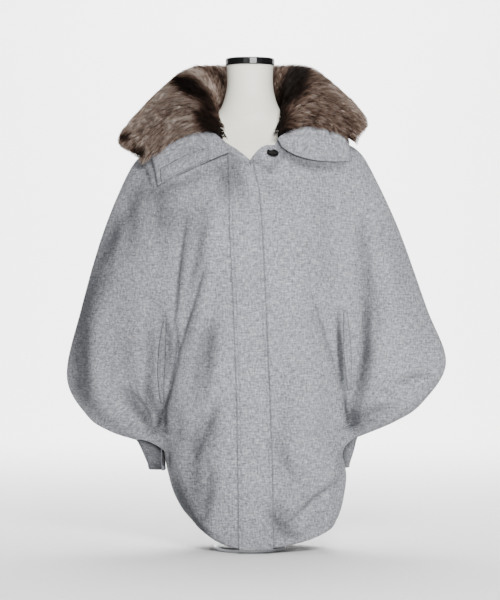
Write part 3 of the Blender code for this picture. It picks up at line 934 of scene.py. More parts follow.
# Zones of shade. Each row: x and z of start, middle and end, width, strength
DUSKS = along_curves(
    Dusk,
    front=[
        # The outer rims of the wings, and under their lower ends
        (-256, 640, -330, 420, -318, 262, 23, 0.95),
        (-190, 744, -232, 660, -284, 566, 12, 0.3),
        (-318, 424, -318, 344, -298, 292, 12, 0.5),
        (-258, 640, -266, 560, -286, 470, 9, 0.22),
        (-168, 455, -170, 385, -172, 310, 7, 0.5),
        (-336, 326, -284, 256, -222, 226, 14, 0.5),
        (-240, 304, -207, 262, -186, 222, 12, 0.75),
        (256, 640, 304, 520, 344, 400, 30, 0.22),
        (374, 332, 322, 268, 250, 238, 16, 0.36),
        (-206, 720, -250, 480, -226, 250, 62, 0.3),
        (-196, 712, -120, 640, -70, 720, 40, 0.26),
        # Beside the wearer's right pocket and under the arm
        (-162, 456, -153, 396, -160, 336, 8, 0.72),
        (-188, 430, -190, 370, -196, 310, 8, 0.29),
        (-232, 430, -236, 370, -226, 310, 12, 0.22),
        (-200, 326, -180, 275, -160, 212, 12, 0.65),
        (-236, 702, -222, 640, -232, 560, 14, 0.36),
        (-176, 692, -172, 640, -180, 586, 10, 0.25),
        (-212, 700, -182, 660, -192, 600, 34, 0.18),
        # Under the collar and the button
        (-204, 692, -140, 706, -66, 744, 15, 0.43),
        (-62, 748, -46, 712, -36, 676, 15, 0.54),
        (54, 780, 104, 748, 178, 742, 8, 0.72),
        (24, 732, 40, 700, 72, 690, 14, 0.32),
        (-44, 768, -26, 728, -8, 676, 15, 0.6),
        (14, 764, 26, 744, 52, 738, 8, 0.4),
        (62, 770, 50, 752, 30, 734, 6, 0.36),
        # The body's wearer's right side
        (-84, 664, -92, 600, -112, 516, 12, 0.32),
        (-78, 446, -94, 370, -106, 286, 13, 0.43),
        (-150, 292, -140, 240, -150, 188, 15, 0.25),
        (-74, 440, -76, 372, -86, 300, 9, 0.65),
        (-64, 284, -80, 236, -98, 186, 9, 0.55),
        (-76, 176, -76, 116, -84, 66, 9, 0.65),
        (-140, 132, -118, 76, -74, 22, 12, 0.6),
        (-104, 54, -78, 30, -46, 12, 10, 0.5),
        (-62, 500, -64, 420, -66, 340, 9, 0.3),
        (-134, 290, -130, 240, -136, 190, 10, 0.25),
        (-58, 282, -66, 228, -80, 180, 12, 0.35),
        (-96, 500, -110, 420, -126, 330, 9, -0.45),
        (-88, 616, -104, 548, -119, 486, 8, 0.4),
        (-90, 264, -104, 170, -88, 64, 17, 0.72),
        (-162, 212, -142, 130, -104, 44, 20, 0.65),
        # The wearer's left side
        (222, 656, 222, 590, 230, 516, 11, 0.4),
        (226, 546, 230, 440, 215, 334, 12, 0.6),
        (236, 404, 216, 320, 203, 250, 11, 0.65),
        (204, 260, 240, 272, 286, 280, 13, 0.5),
        (197, 286, 200, 252, 207, 222, 9, 0.5),
        (170, 460, 173, 386, 180, 318, 5.2, 1.2),
        (216, 486, 222, 430, 224, 372, 12, 0.36),
        (202, 264, 214, 240, 232, 222, 9, 0.6),
        (36, 76, 58, 48, 94, 28, 10, 0.4),
        (262, 580, 270, 500, 276, 430, 9, -0.2),
        (150, 122, 122, 94, 90, 66, 9, -0.3),
        (216, 268, 230, 252, 262, 242, 12, 0.4),
        (172, 424, 175, 376, 179, 334, 4.5, 0.8),
        (44, 112, 62, 88, 94, 68, 9, 0.35),
        (46, 244, 64, 190, 88, 146, 13, 0.32),
        (38, 94, 56, 66, 88, 42, 13, 0.61),
        (177, 214, 172, 160, 158, 104, 11, 0.32),
        (72, 330, 70, 250, 74, 160, 12, 0.18),
    ],
    back=[
        # The back, alike
        (-228, 640, -232, 480, -220, 320, 13, 0.36),
        (228, 655, 240, 500, 230, 320, 13, 0.39),
        (-150, 210, -132, 120, -98, 46, 20, 0.36),
        (156, 200, 140, 110, 104, 44, 20, 0.33),
        (-200, 300, -184, 262, -176, 216, 11, 0.39),
        (200, 296, 190, 258, 184, 220, 11, 0.39),
        (-64, 420, -80, 320, -72, 210, 14, 0.21),
        (78, 440, 92, 330, 86, 220, 14, 0.21),
    ],
)

# The small creases of the fly
FLY_CREASES = along_curves(
    Crease,
    front=[
        (-42, 770, -24, 754, -4, 735, -2.4, 2.6, True),
        (-34, 776, -18, 762, -1, 745, -1.6, 2.6, True),
        (-2, 176, 14, 156, 31, 131, -2.4, 5),
        (-1, 64, 18, 46, 38, 27, -2.2, 5),
        (-30, 238, -12, 222, 6, 214, -1.6, 6),
        (-16, 420, -12, 330, -14, 250, -1.2, 8),
    ],
)

# Where each front is covered by the fly: half widths to the wearer's right and left at a height
FLY_EDGES = np.array(
    [(0, 21, 44), (291, 25, 38), (450, 31, 31), (623, 39, 23), (696, 40, 17), (737, 42, 7), (780, 46, 4)],
    dtype=float,
)


class CuffHole(NamedTuple):
    """The columns that a cuff's hole takes on the front and the back, and its wrist opening."""

    front_columns: int
    back_columns: int
    x: float
    y: float
    z: float
    half_width: float
    half_depth: float
    shade: float


CUFF_HOLES = {
    Side.LEFT: CuffHole(2, 3, 184, 30, 158, 11.5, 34, 0.36),
    Side.RIGHT: CuffHole(2, 3, -180.2, -6, 156, 17.4, 33, 0.75),
}


@dataclass
class JacketForm:
    """The jacket's outer surface as one fine grid of rings, from the hem up to the neckline."""

    front_columns: int = 17
    back_columns: int = 24
    front_fine: int = 10
    back_fine: int = 5
    even_share: float = 0.4
    rise_power: float = 2.42
    edge_power: float = 0.85
    body_half: float = 150.0
    neck_rises: dict[Side, tuple[float, float]] = field(
        default_factory=lambda: {Side.LEFT: (20.0, 0.62), Side.RIGHT: (14.0, 0.71)}
    )
    neck_rings: int = 3
    wing_steps: tuple[int, ...] = (6, 6, 7, 8, 9, 20, 24, 22, 14, 6, 5)
    strip_steps: int = 4
    body_steps: tuple[int, ...] = (10, 10, 10, 12)
    calm_rounds: int = 40
    calm_reach: float = 6.0
    fold_end: float = 0.12
    crease_legs: int = 6
    keen_width: float = 2.7
    full_shade: float = 8.0
    fly_shades: tuple[float, float] = (0.75, 0.3)
    # Size, turn and height of the swells
    swells: tuple[tuple[float, float, float], ...] = ((97, 0.4, 1.5), (63, 1.3, 1.1), (39, 2.1, 0.6), (27, 0.9, 0.35))
    points: Grid = field(init=False)
    normals: Grid = field(init=False)
    rings: Grid = field(init=False)

    def __post_init__(self) -> None:
        """Works out the grid."""
        last = len(WING_SECTIONS) - 1
        wing, body = (
            np.concatenate(
                [first + np.linspace(i, i + 1, n, endpoint=False) for i, n in enumerate(steps)] + [[first + len(steps)]]
            )
            for first, steps in ((0, self.wing_steps), (last + 1, self.body_steps))
        )
        above, below = self.round_rings(wing), self.round_rings(body)
        shares = np.linspace(0, 1, self.strip_steps + 1)[1:-1]
        strip = np.stack([above[-1] * (1 - s) + below[0] * s for s in shares])
        self.rings = np.concatenate([wing, last + shares, body])[::-1]
        self.points = self.calm(np.concatenate([above, strip, below])[::-1])
        self.normals = grid_normals(self.points, closed=True)

    def calm(self, points: Grid) -> Grid:
        """Smooths the step between the wings' lower ends and the body, away from the cuffs' holes.

        Args:
            points: The grid.

        Returns:
            The smoothed grid.
        """
        rows = np.arange(len(points))
        middle = self.strip_row + self.strip_steps / 2
        near = np.exp(-(((rows - middle) / self.calm_reach) ** 4))[:, None]
        columns = np.arange(points.shape[1])[None, :]
        free = np.ones_like(columns, dtype=float)
        for side in Side:
            low, high = self.cuff_columns(side)
            away = np.maximum(np.maximum(low - columns, columns - high), 0)
            free = np.minimum(free, 1 - bell(away, self.calm_reach))
        weight = (near * free)[1:-1, :, None]
        calmed = points.copy()
        for _ in range(self.calm_rounds):
            mean = (calmed[:-2] + calmed[2:]) / 2
            calmed[1:-1] += (mean - calmed[1:-1]) * 0.5 * weight
        return calmed

    @property
    def left_side(self) -> int:
        """The column of the seam on the wearer's left."""
        return self.front_columns * self.front_fine

    @property
    def right_side(self) -> int:
        """The column of the seam on the wearer's right."""
        return self.left_side + self.back_columns * self.back_fine

    @property
    def back_middle(self) -> int:
        """The column of the seam down the back's middle."""
        return (self.left_side + self.right_side) // 2

    @property
    def strip_row(self) -> int:
        """The first row of the strip under the wings' lower ends, from the hem."""
        return sum(self.body_steps)

    def sections(self, rings: Grid) -> Section:
        """The sections at some rings.

        Args:
            rings: Ring numbers, all on the wings or all on the body.

        Returns:
            A section of arrays.
        """
        last = len(WING_SECTIONS) - 1
        if rings[0] <= last:
            return Section(*smooth_rows(WING_SECTIONS, rings).T)
        return Section(*smooth_rows(BODY_SECTIONS, rings - last - 1).T)

    def front_angles(self, rings: Grid, side: Side, places: Grid) -> Grid:
        """The angles at which columns lie on the front.

        Args:
            rings: Ring numbers.
            side: The wearer's side.
            places: Column places, where the fly's edge is 1 and the side seam is the last column.

        Returns:
            An angle for each ring and column.
        """
        row = self.sections(rings)
        left = side is Side.LEFT
        half = np.interp(row.front_z, FLY_EDGES[:, 0], FLY_EDGES[:, 2 if left else 1])
        first = np.minimum(0.9, half / (row.right_x if left else row.left_x))[:, None]
        edge = np.arcsin(first)
        share = np.clip((places - 1) / (self.front_columns - 1), 0, 1)[None, :]
        turned = np.sin(edge + (math.pi / 2 - edge) * share)
        even = first + (1 - first) * share
        outer = np.arcsin(np.clip(self.even_share * even + (1 - self.even_share) * turned, 0, 1))
        inner = np.arcsin(np.clip(places, 0, 1)[None, :] * first)
        return np.where(places[None, :] < 1, inner, outer)

    def near(self, table: Sequence[Crease | Dusk], face: Face, x: Grid, z: Grid) -> Iterator[tuple[Any, Grid, Grid]]:
        """Goes through a table's curves on one face.

        Args:
            table: Creases or dusks, whose curves pass through their middles.
            face: The face that is seen.
            x: Places across.
            z: Heights.

        Yields:
            A curve, how far places are from it, and shares that fade out towards its ends.
        """
        share = np.linspace(0, 1, self.crease_legs + 1)[:, None]
        for line in table:
            if line.face is not face:
                continue
            corners = curve(*(np.array(c, dtype=float) for c in (line.start, line.middle, line.end)), share)
            nearest = np.full_like(x, np.inf)
            along = np.zeros_like(x)
            for leg in range(self.crease_legs):
                run = corners[leg + 1] - corners[leg]
                off_x, off_z = x - corners[leg, 0], z - corners[leg, 1]
                part = np.clip((off_x * run[0] + off_z * run[1]) / run.dot(run), 0, 1)
                away = np.hypot(off_x - part * run[0], off_z - part * run[1])
                closer = away < nearest
                nearest = np.where(closer, away, nearest)
                along = np.where(closer, (leg + part) / self.crease_legs, along)
            yield line, nearest, np.sin(math.pi * (self.fold_end + (1 - 2 * self.fold_end) * along))

    def creases(self, table: Sequence[Crease], face: Face, x: Grid, z: Grid) -> Grid:
        """How far a table's creases move the cloth outwards at places of a face.

        Args:
            table: The creases.
            face: The face that they are on.
            x: Places across the front view.
            z: Their heights.

        Returns:
            A distance for each place.
        """
        total = np.zeros_like(x)
        for line, away, fade in self.near(table, face, x, z):
            shape = 1.25 * np.exp(-((away / line.width) ** 1.3)) if line.sharp else bell(away, line.width)
            total += line.height * fade * shape
        return total

    def shades(self, table: Sequence[Crease], face: Face, x: Grid, z: Grid) -> Grid:
        """How far places lie in the shade of a table's keen creases and in dusky zones, below 0 in lit ones.

        Args:
            table: The creases.
            face: The face that they are on.
            x: Places across the front view.
            z: Their heights.

        Returns:
            A shade for each place.
        """
        keen = np.zeros_like(x)
        for line, away, fade in self.near([c for c in table if c.sharp and c.height < 0], face, x, z):
            strength = min(1.0, -line.height / self.full_shade)
            both = bell(away, self.keen_width) + 0.3 * bell(away, 3.2 * self.keen_width)
            keen = np.maximum(keen, strength * fade * both / 1.3)
        dusky = np.zeros_like(x)
        for line, away, fade in self.near(DUSKS, face, x, z):
            dusky += line.strength * fade * bell(away, line.width)
        return keen + dusky

    def shade(self) -> Grid:
        """The shade over the whole grid, and beside the fly's edges."""
        x, z = self.points[:, :, 0], self.points[:, :, 2]
        total = np.zeros(x.shape)
        left, right = self.left_side, self.right_side
        for face, columns in ((F, slice(0, left)), (B, slice(left, right)), (F, slice(right, None))):
            total[:, columns] = self.shades(FINE_CREASES, face, x[:, columns], z[:, columns])
        reach = lengths(self.points, 1)
        edges = (self.front_fine, x.shape[1] - 1 - self.front_fine)
        for column, strength in zip(edges, self.fly_shades):
            total = np.maximum(total, strength * bell(reach - reach[:, column : column + 1], 2.2))
        return total

    def surface(self, rings: Grid, face: Face, side: Side, angles: Grid) -> Grid:
        """Points of the outer surface.

        Args:
            rings: Ring numbers.
            face: The face.
            side: The wearer's side.
            angles: For each ring and column, the turn from the face's middle.

        Returns:
            The points.
        """
        row = Section(*(np.asarray(part)[:, None] for part in self.sections(rings)))
        front, left = face is F, side is Side.LEFT
        reach, side_z = (row.right_x, row.right_z) if left else (row.left_x, row.left_z)
        middle_z = row.front_z if front else row.back_z
        depth, wing = (row.front_y, row.front_wing) if front else (row.back_y, row.back_wing)
        share = np.sin(angles)
        rise = (side_z - middle_z) * share**self.rise_power
        ring = rings[:, None]
        if front:
            height, until = self.neck_rises[side]
            lift = height * np.sin(math.pi * share / until) * np.clip(1 - ring / self.neck_rings, 0, 1) ** 2
            rise = rise + np.where(share < until, lift, 0.0)
        bulge = (row.right_bulge if left else row.left_bulge) if front else 0.0
        x = side.value * (reach * share + bulge * np.sin(2 * angles) * share**2)
        z = middle_z + rise
        body = np.exp(-((np.abs(x) / self.body_half) ** 4)) * (1 - share**8)
        away = wing * np.clip(np.cos(angles), 0, 1) ** self.edge_power + (depth - wing) * body
        last = len(WING_SECTIONS) - 1
        held = np.where(ring <= last, np.clip((last - ring) / 2, 0, 1), np.clip(ring - last - 1, 0, 1))
        away = away + self.creases(MAIN_FOLDS, face, x, z) * (1 - share**4) * held
        away = away + self.creases(FINE_CREASES, face, x, z) * (1 - share**10)
        away = away + self.ease(x, z, 1.0 if front else 2.0) * (1 - share**6)
        return np.stack([x, -away if front else away, z], axis=2)

    def ease(self, x: Grid, z: Grid, phase: float) -> Grid:
        """Small uneven swells of the wadding under the cloth.

        Args:
            x: Places across.
            z: Heights.
            phase: A number that makes the two faces differ.

        Returns:
            How far the cloth swells.
        """
        total = np.zeros_like(x)
        for size, turn, height in self.swells:
            wave = (x * math.cos(turn * phase) + z * math.sin(turn * phase)) * 2 * math.pi / size
            cross = (x * math.sin(turn + phase) - z * math.cos(turn + phase)) * 2 * math.pi / (size * 1.7)
            total += height * np.sin(wave + phase) * np.cos(cross + 2 * phase)
        return total

    def round_rings(self, rings: Grid) -> Grid:
        """Whole rings, from the front's middle round the wearer's left side.

        Args:
            rings: Ring numbers.

        Returns:
            The points of each ring; the last one is the first one again.
        """
        places = np.linspace(0, self.front_columns, self.front_columns * self.front_fine + 1)
        left, right = (self.surface(rings, F, side, self.front_angles(rings, side, places)) for side in Side)
        turns = np.linspace(0, math.pi, self.back_columns * self.back_fine + 1)[1:-1]
        middle = np.abs(math.pi / 2 - turns)[None, :] * np.ones((len(rings), 1))
        is_left = turns <= math.pi / 2
        back = [
            self.surface(rings, B, side, middle[:, here])
            for side, here in ((Side.LEFT, is_left), (Side.RIGHT, ~is_left))
        ]
        return np.concatenate([left, *back, right[:, ::-1]], axis=1)

    def cuff_columns(self, side: Side) -> tuple[int, int]:
        """The first and last fine column of a cuff's hole.

        Args:
            side: The wearer's side.

        Returns:
            Both columns.
        """
        hole = CUFF_HOLES[side]
        front, back = hole.front_columns * self.front_fine, hole.back_columns * self.back_fine
        if side is Side.LEFT:
            return self.left_side - front, self.left_side + back
        return self.right_side - back, self.right_side + front


@dataclass
class Panels:
    """The two fronts and the two halves of the back, each cut in one with its part of the wings."""

    form: JacketForm
    finishes: Wardrobe
    stitches: Stitches
    wall: float = 5.6
    seam_gap: float = 0.15
    seam_sink: float = 1.6
    seam_width: float = 4.0
    hem_sink: float = 1.1
    hem_stitch: float = 16.0
    hem_round: tuple[float, float] = (2.4, 2.2)
    cuts: dict[str, Cut] = field(
        default_factory=lambda: {
            "front_left": Cut(0.44, 0.90, 0.275),
            "front_right": Cut(0.44, 0.90, 0.27),
            "back_left": Cut(0.44, 0.86, 0.275),
            "back_right": Cut(0.44, 0.86, 0.275),
        }
    )
    pieces: dict[str, Thing] = field(default_factory=dict)

    def dressed(self) -> Grid:
        """The form with the seams, the hem's stitch line and the rounded edges sunk in."""
        form = self.form
        reach, height = lengths(form.points, 1), lengths(form.points, 0)
        sink = np.zeros(reach.shape)
        for seam in (form.left_side, form.back_middle, form.right_side):
            sink += self.seam_sink * bell(reach - reach[:, seam : seam + 1], self.seam_width)
        sink += self.hem_sink * bell(height - self.hem_stitch, 3.0)
        sink += self.hem_round[0] * bell(height, self.hem_round[1])
        return form.points - form.normals * sink[:, :, None]

    def build(self) -> None:
        """Makes the four panels and their stitches."""
        form, gap = self.form, self.seam_gap
        points = self.dressed()
        shade = form.shade()
        left, middle, right, last = form.left_side, form.back_middle, form.right_side, points.shape[1] - 1
        # First and last column, the upright one, and how far the two edges are moved apart
        spans = {
            "front_left": (0, left, 0, (gap, 0, 0), (0, -gap, 0)),
            "back_left": (left, middle, middle - left, (0, gap, 0), (gap, 0, 0)),
            "back_right": (middle, right, 0, (-gap, 0, 0), (0, gap, 0)),
            "front_right": (right, last, last - right, (0, -gap, 0), (-gap, 0, 0)),
        }
        for name, (first, stop, start, first_shift, last_shift) in spans.items():
            grid = points[:, first : stop + 1].copy()
            grid[:, 0] += first_shift
            grid[:, -1] += last_shift
            holes = [
                (form.strip_row + row, column - first)
                for side in Side
                for row in range(form.strip_steps)
                for column in range(*form.cuff_columns(side))
                if first <= column < stop
            ]
            layers = [self.finishes.wool, self.finishes.lining]
            dark = shade[:, first : stop + 1]
            piece = patch(f"{name}_cloth", grid, lay_flat(grid, start), layers, holes, shade=dark)
            thicken(piece, self.wall, lined=True)
            hand_over(piece, name)
            self.pieces[name] = piece
        # The hem is sewn a little above the edge
        rows = np.abs(lengths(points, 0) - self.hem_stitch).argmin(axis=0)
        columns = np.arange(points.shape[1])
        self.stitches.row(points[rows, columns], grid_normals(points, closed=True)[rows, columns])


@dataclass
class FlyFront:
    """The strip that hides the fastening, sewn down on the wearer's right and free on the left."""

    form: JacketForm
    finishes: Wardrobe
    stitches: Stitches
    gap: float = 0.3
    wall: float = 4.0
    columns: int = 40
    top_ring: float = 0.5
    stitch_in: float = 6.0
    edge_round: float = 1.3
    cut: Cut = Cut(0.075, 0.78, 0.051)

    def build(self) -> Thing:
        """Makes the strip.

        Returns:
            The strip.
        """
        form, fine = self.form, self.form.front_fine
        keep = form.rings >= self.top_ring - 1e-6
        ring, out = (
            np.concatenate([table[:, -1 - fine : -1], table[:, : fine + 1]], axis=1)[keep]
            for table in (form.points, form.normals)
        )
        reach = lengths(ring, 1)
        places = np.linspace(0, 1, self.columns + 1)
        places = 0.5 - 0.5 * np.cos(math.pi * places) * (0.75 + 0.25 * np.abs(np.cos(math.pi * places)))
        grid = np.zeros((len(ring), len(places), 3))
        normal = np.zeros_like(grid)
        for r in range(len(ring)):
            at = places * reach[r, -1]
            for k in range(3):
                grid[r, :, k] = np.interp(at, reach[r], ring[r, :, k])
                normal[r, :, k] = np.interp(at, reach[r], out[r, :, k])
        from_left = places[None, :] * reach[:, -1:]
        from_right = reach[:, -1:] - from_left
        lift = np.full(from_left.shape, self.gap + self.wall)
        for away in (from_left, from_right):
            lift -= self.edge_round * bell(away, 1.6)
        lift -= 0.9 * bell(from_left - self.stitch_in, 1.8)
        lift += 0.5 * bell(from_left - 2.6, 1.6)
        lift -= 0.35 * bell(from_right - self.stitch_in, 1.6)
        lift += form.creases(FLY_CREASES, F, grid[:, :, 0], grid[:, :, 2])
        shade = form.shades(FLY_CREASES, F, grid[:, :, 0], grid[:, :, 2])
        for away, by_edge, by_stitch in ((from_left, 0.35, 0.32), (from_right, 0.5, 0.22)):
            shade = np.maximum(shade, by_edge * bell(away, 1.3))
            shade = np.maximum(shade, by_stitch * bell(away - self.stitch_in, 1.6))
        outer = grid + normal * lift[:, :, None]
        flat = lay_flat(outer, len(places) // 2)
        piece = patch("fly_front_cloth", outer, flat, [self.finishes.wool], shade=shade)
        thicken(piece, self.wall - 0.2)
        column = np.abs(from_left - self.stitch_in).argmin(axis=1)
        rows = np.arange(len(outer))
        self.stitches.row(outer[rows, column], grid_normals(outer)[rows, column])
        hand_over(piece, "fly_front")
        return piece


@dataclass
class Cuffs:
    """The gathered tubes from the holes under the wings' ends down to the wrists."""

    form: JacketForm
    finishes: Wardrobe
    clear: float = 0.7
    inset: float = 1.7
    ease: float = 0.8
    stretch: float = 1.6
    wall: float = 3.6
    rings: int = 26
    gather: float = 2.0
    pleats: int = 11
    pleat_shade: float = 0.4
    band_from: float = 0.86
    band_sink: float = 0.9
    cut: Cut = Cut(0.20, 0.065, 0.0115)

    def build(self) -> None:
        """Makes both cuffs."""
        form = self.form
        for side, word in ((Side.LEFT, "left"), (Side.RIGHT, "right")):
            hole = CUFF_HOLES[side]
            first, last = form.cuff_columns(side)
            spots = [(form.strip_row + form.strip_steps, c) for c in range(first, last + 1)]
            spots += [(form.strip_row, c) for c in range(last, first - 1, -1)]
            loop = np.array([form.points[r, c] + form.normals[r, c] * self.clear for r, c in spots])
            middle = loop.mean(axis=0)
            wrist = np.array([hole.x, hole.y, hole.z])
            start = loop + unit(middle - loop) * self.inset
            around = np.arctan2(loop[:, 1] - middle[1], (loop[:, 0] - middle[0]) * self.stretch)
            away = np.stack([hole.half_width * np.cos(around), hole.half_depth * np.sin(around), 0 * around], 1)
            grid, shades = [], []
            for share in np.linspace(0, 1, self.rings + 1):
                path = start + (wrist + away - start) * share**self.ease
                path[:, 2] = start[:, 2] + (hole.z - start[:, 2]) * share
                out = path - (middle + (wrist - middle) * share)
                out[:, 2] = 0
                phase = self.pleats * around + 1.4 * np.sin(3 * around + side.value) + 0.8 * share
                depth = self.gather * math.sin(math.pi * min(1.0, 0.08 + share)) * (0.6 + 0.4 * np.cos(2.3 * around))
                if share > self.band_from:
                    depth = depth - self.band_sink
                grid.append(path + unit(out) * (depth * np.sin(phase) - self.gather * 0.5)[:, None])
                shades.append(hole.shade + self.pleat_shade * np.clip(-np.sin(phase), 0, 1) ** 3)
            points, shade = (np.array(table)[::-1] for table in (grid, shades))
            points, shade = (np.concatenate([table, table[:, :1]], axis=1) for table in (points, shade))
            if np.mean(np.sum(grid_normals(points) * (points - middle), axis=2)[:, :-1]) < 0:
                points, shade = points[:, ::-1], shade[:, ::-1]
            layers = [self.finishes.wool, self.finishes.lining]
            piece = patch(f"cuff_{word}_cloth", points, lay_flat(points, 0), layers, closed=True, shade=shade)
            thicken(piece, self.wall, lined=True)
            hand_over(piece, f"cuff_{word}")


# The collar


def on_front(tree: BVHTree, x: float, z: float) -> tuple[Vector | None, Vector | None]:
    """Where a level ray from the front meets the cloth, and the cloth's normal there."""
    return tree.ray_cast(Vector((x, RAY_Y, z)), Vector((0, 1, 0)))[:2]


class Station(NamedTuple):
    """A cross line of the collar: neck seam, roll and outer edge. A y of None lies on the front."""

    neck: tuple[float, float | None, float]
    roll: tuple[float, float | None, float]
    edge: tuple[float, float | None, float]


STATIONS = [
    Station((-41, None, 770), (-110, None, 740), (-190, None, 701)),
    Station((-54, -88, 797), (-112, -86, 811), (-206, -64, 758)),
    Station((-65, -59, 824), (-125, -54, 862), (-252, -36, 790)),
    Station((-78, -20, 853), (-118, -6, 905), (-220, 14, 843)),
    Station((-73, 30, 855), (-98, 48, 925), (-160, 66, 902)),
    Station((-44, 58, 856), (-58, 86, 925), (-90, 112, 937)),
    Station((0, 68, 857), (0, 94, 920), (0, 124, 942)),
    Station((44, 58, 856), (58, 86, 925), (88, 112, 937)),
    Station((73, 30, 855), (98, 48, 925), (152, 68, 906)),
    Station((78, -20, 853), (115, -6, 905), (200, 16, 866)),
    Station((65, -59, 824), (112, -54, 862), (225, -30, 826)),
    Station((54, -88, 800), (122, -84, 824), (202, -60, 795)),
    Station((60, None, 781), (122, None, 756), (211, None, 757)),
]


@dataclass
class CollarForm:
    """The collar's upper surface, from the neck seam over its roll to the outer edge."""

    tree: BVHTree
    flap_lift: float = 3.1
    wall: float = 5.0
    room: float = 0.8
    front_from: float = -20.0
    deepest: float = 14.0
    tables: list[Grid] = field(init=False)

    def __post_init__(self) -> None:
        """Lays the two ends on the fronts."""
        self.tables = []
        for part in Station._fields:
            rows = []
            for station in STATIONS:
                x, y, z = getattr(station, part)
                rows.append((x, self.front_y(x, z) - self.flap_lift - self.wall if y is None else y, z))
            self.tables.append(np.array(rows, dtype=float))

    def front_y(self, x: float, z: float) -> float:
        """How far forward the front's cloth is at a place of its view.

        Args:
            x: The place across the front view.
            z: Its height.

        Returns:
            The depth, or infinity where no cloth is.
        """
        hit = on_front(self.tree, x, z)[0]
        return hit.y if hit else math.inf

    def surface(self, along: Grid, across: Grid) -> Grid:
        """Points of the upper surface.

        Args:
            along: Station places.
            across: Shares from the neck to the outer edge.

        Returns:
            A grid of points, one row for each share and one column for each station place.
        """
        neck, roll, edge = (smooth_rows(table, along)[None] for table in self.tables)
        return curve(neck, roll, edge, across[:, None, None])

    def cloth(self, along: Grid, across: Grid) -> Grid:
        """Points of the upper surface of the collar's cloth, kept in front of the fronts' cloth.

        Args:
            along: Station places.
            across: Shares from the neck to the outer edge.

        Returns:
            A grid of points.
        """
        points = self.surface(along, across)
        room = self.wall + self.room
        for place in points.reshape(-1, 3):
            x, y, z = place
            front = math.inf if y > self.front_from else self.front_y(x, z)
            if front < math.inf and 0 > front - room - y > -self.deepest:
                place[1] = front - room
        return points


@dataclass
class Collar:
    """The collar's cloth: a stand behind the neck that opens into two flaps."""

    form: CollarForm
    finishes: Wardrobe
    stitches: Stitches
    per_station: int = 14
    across: int = 44
    last_across: float = 0.94
    edge_stitch: float = 5.5
    band: tuple[float, float] = (0.70, 0.86)
    shades: tuple[float, float] = (0.3, 0.12)
    cut: Cut = Cut(0.56, 0.27, 0.105)

    def build(self) -> Thing:
        """Makes the collar's cloth.

        Returns:
            The cloth.
        """
        end = len(STATIONS) - 1
        along = np.linspace(0, end, end * self.per_station + 1)
        across = np.linspace(0, self.last_across, self.across + 1)
        points = self.form.cloth(along, across)
        normals = grid_normals(points)
        from_right, from_neck = lengths(points, 1), lengths(points, 0)
        from_left, from_edge = from_right[:, -1:] - from_right, from_neck[-1:] - from_neck
        sink = np.zeros(points.shape[:2])
        shade = np.where(points[:, :, 0] < 0, *self.shades)
        for away in (from_right, from_left, from_edge):
            sink += 1.6 * bell(away, 1.8)
            sink += 0.8 * bell(away - self.edge_stitch, 1.8)
            shade = np.maximum(shade, 0.3 * bell(away - self.edge_stitch, 1.5))
        low, high = self.band
        for flap in (along[None, :], (end - along)[None, :]):
            below = across[:, None] > 0.08
            sink += 1.1 * bell(flap - low, 0.05) * below
            shade = np.maximum(shade, 0.35 * bell(flap - low, 0.035) * below)
            sink -= 1.2 * bell(flap - (low + high) / 2, 0.09) * below
        points = points - normals * sink[:, :, None]
        piece = patch("collar_cloth", points, lay_flat(points, len(along) // 2), [self.finishes.wool], shade=shade)
        thicken(piece, self.form.wall - 0.4)
        sewn = grid_normals(points)
        rows = np.arange(2, len(points) - 2)
        for away in (from_right, from_left):
            column = np.abs(away - self.edge_stitch).argmin(axis=1)[rows]
            self.stitches.row(points[rows, column], sewn[rows, column])
        hand_over(piece, "collar")
        return piece


@dataclass
class CollarTab:
    """The closing tab, sewn on the wearer's right flap."""

    form: CollarForm
    finishes: Wardrobe
    stitches: Stitches
    along: tuple[float, float] = (0.04, 0.46)
    across: tuple[float, float] = (0.28, 0.88)
    size: tuple[float, float] = (36.0, 100.0)
    lift: float = 0.8
    wall: float = 2.6
    shade: float = 0.22
    cut: Cut = Cut(0.036, 0.095, 0.0029)

    def build(self) -> Thing:
        """Makes the tab.

        Returns:
            The tab.
        """
        points = self.form.cloth(np.linspace(*self.along, 15), np.linspace(*self.across, 37))
        s, t = np.meshgrid(np.linspace(0, 1, 15), np.linspace(0, 1, 37))
        wide, long = self.size
        edge = np.minimum(np.minimum(s, 1 - s) * wide, np.minimum(t, 1 - t) * long)
        lift = self.lift + self.wall - 0.9 * bell(edge, 1.4) - 0.5 * bell(edge - 5, 1.5)
        top = points + grid_normals(points) * lift[:, :, None]
        shade = self.shade + 0.35 * bell(edge - 5, 1.6) + 0.3 * bell(edge, 1.2)
        piece = patch("collar_tab_cloth", top, lay_straight(top), [self.finishes.wool], shade=shade)
        thicken(piece, self.wall - 0.2)
        sewn = grid_normals(top)
        for column in (2, 12):
            self.stitches.row(top[2:-2, column], sewn[2:-2, column])
        for row in (2, -3):
            self.stitches.row(top[row, 2:-2], sewn[row, 2:-2])
        hand_over(piece, "collar_tab")
        return piece


# The fur


class Mark(NamedTuple):
    """A stripe of the fur, between two places of the front view, with its half width."""

    start: tuple[float, float]
    end: tuple[float, float]
    width: float
    strength: float


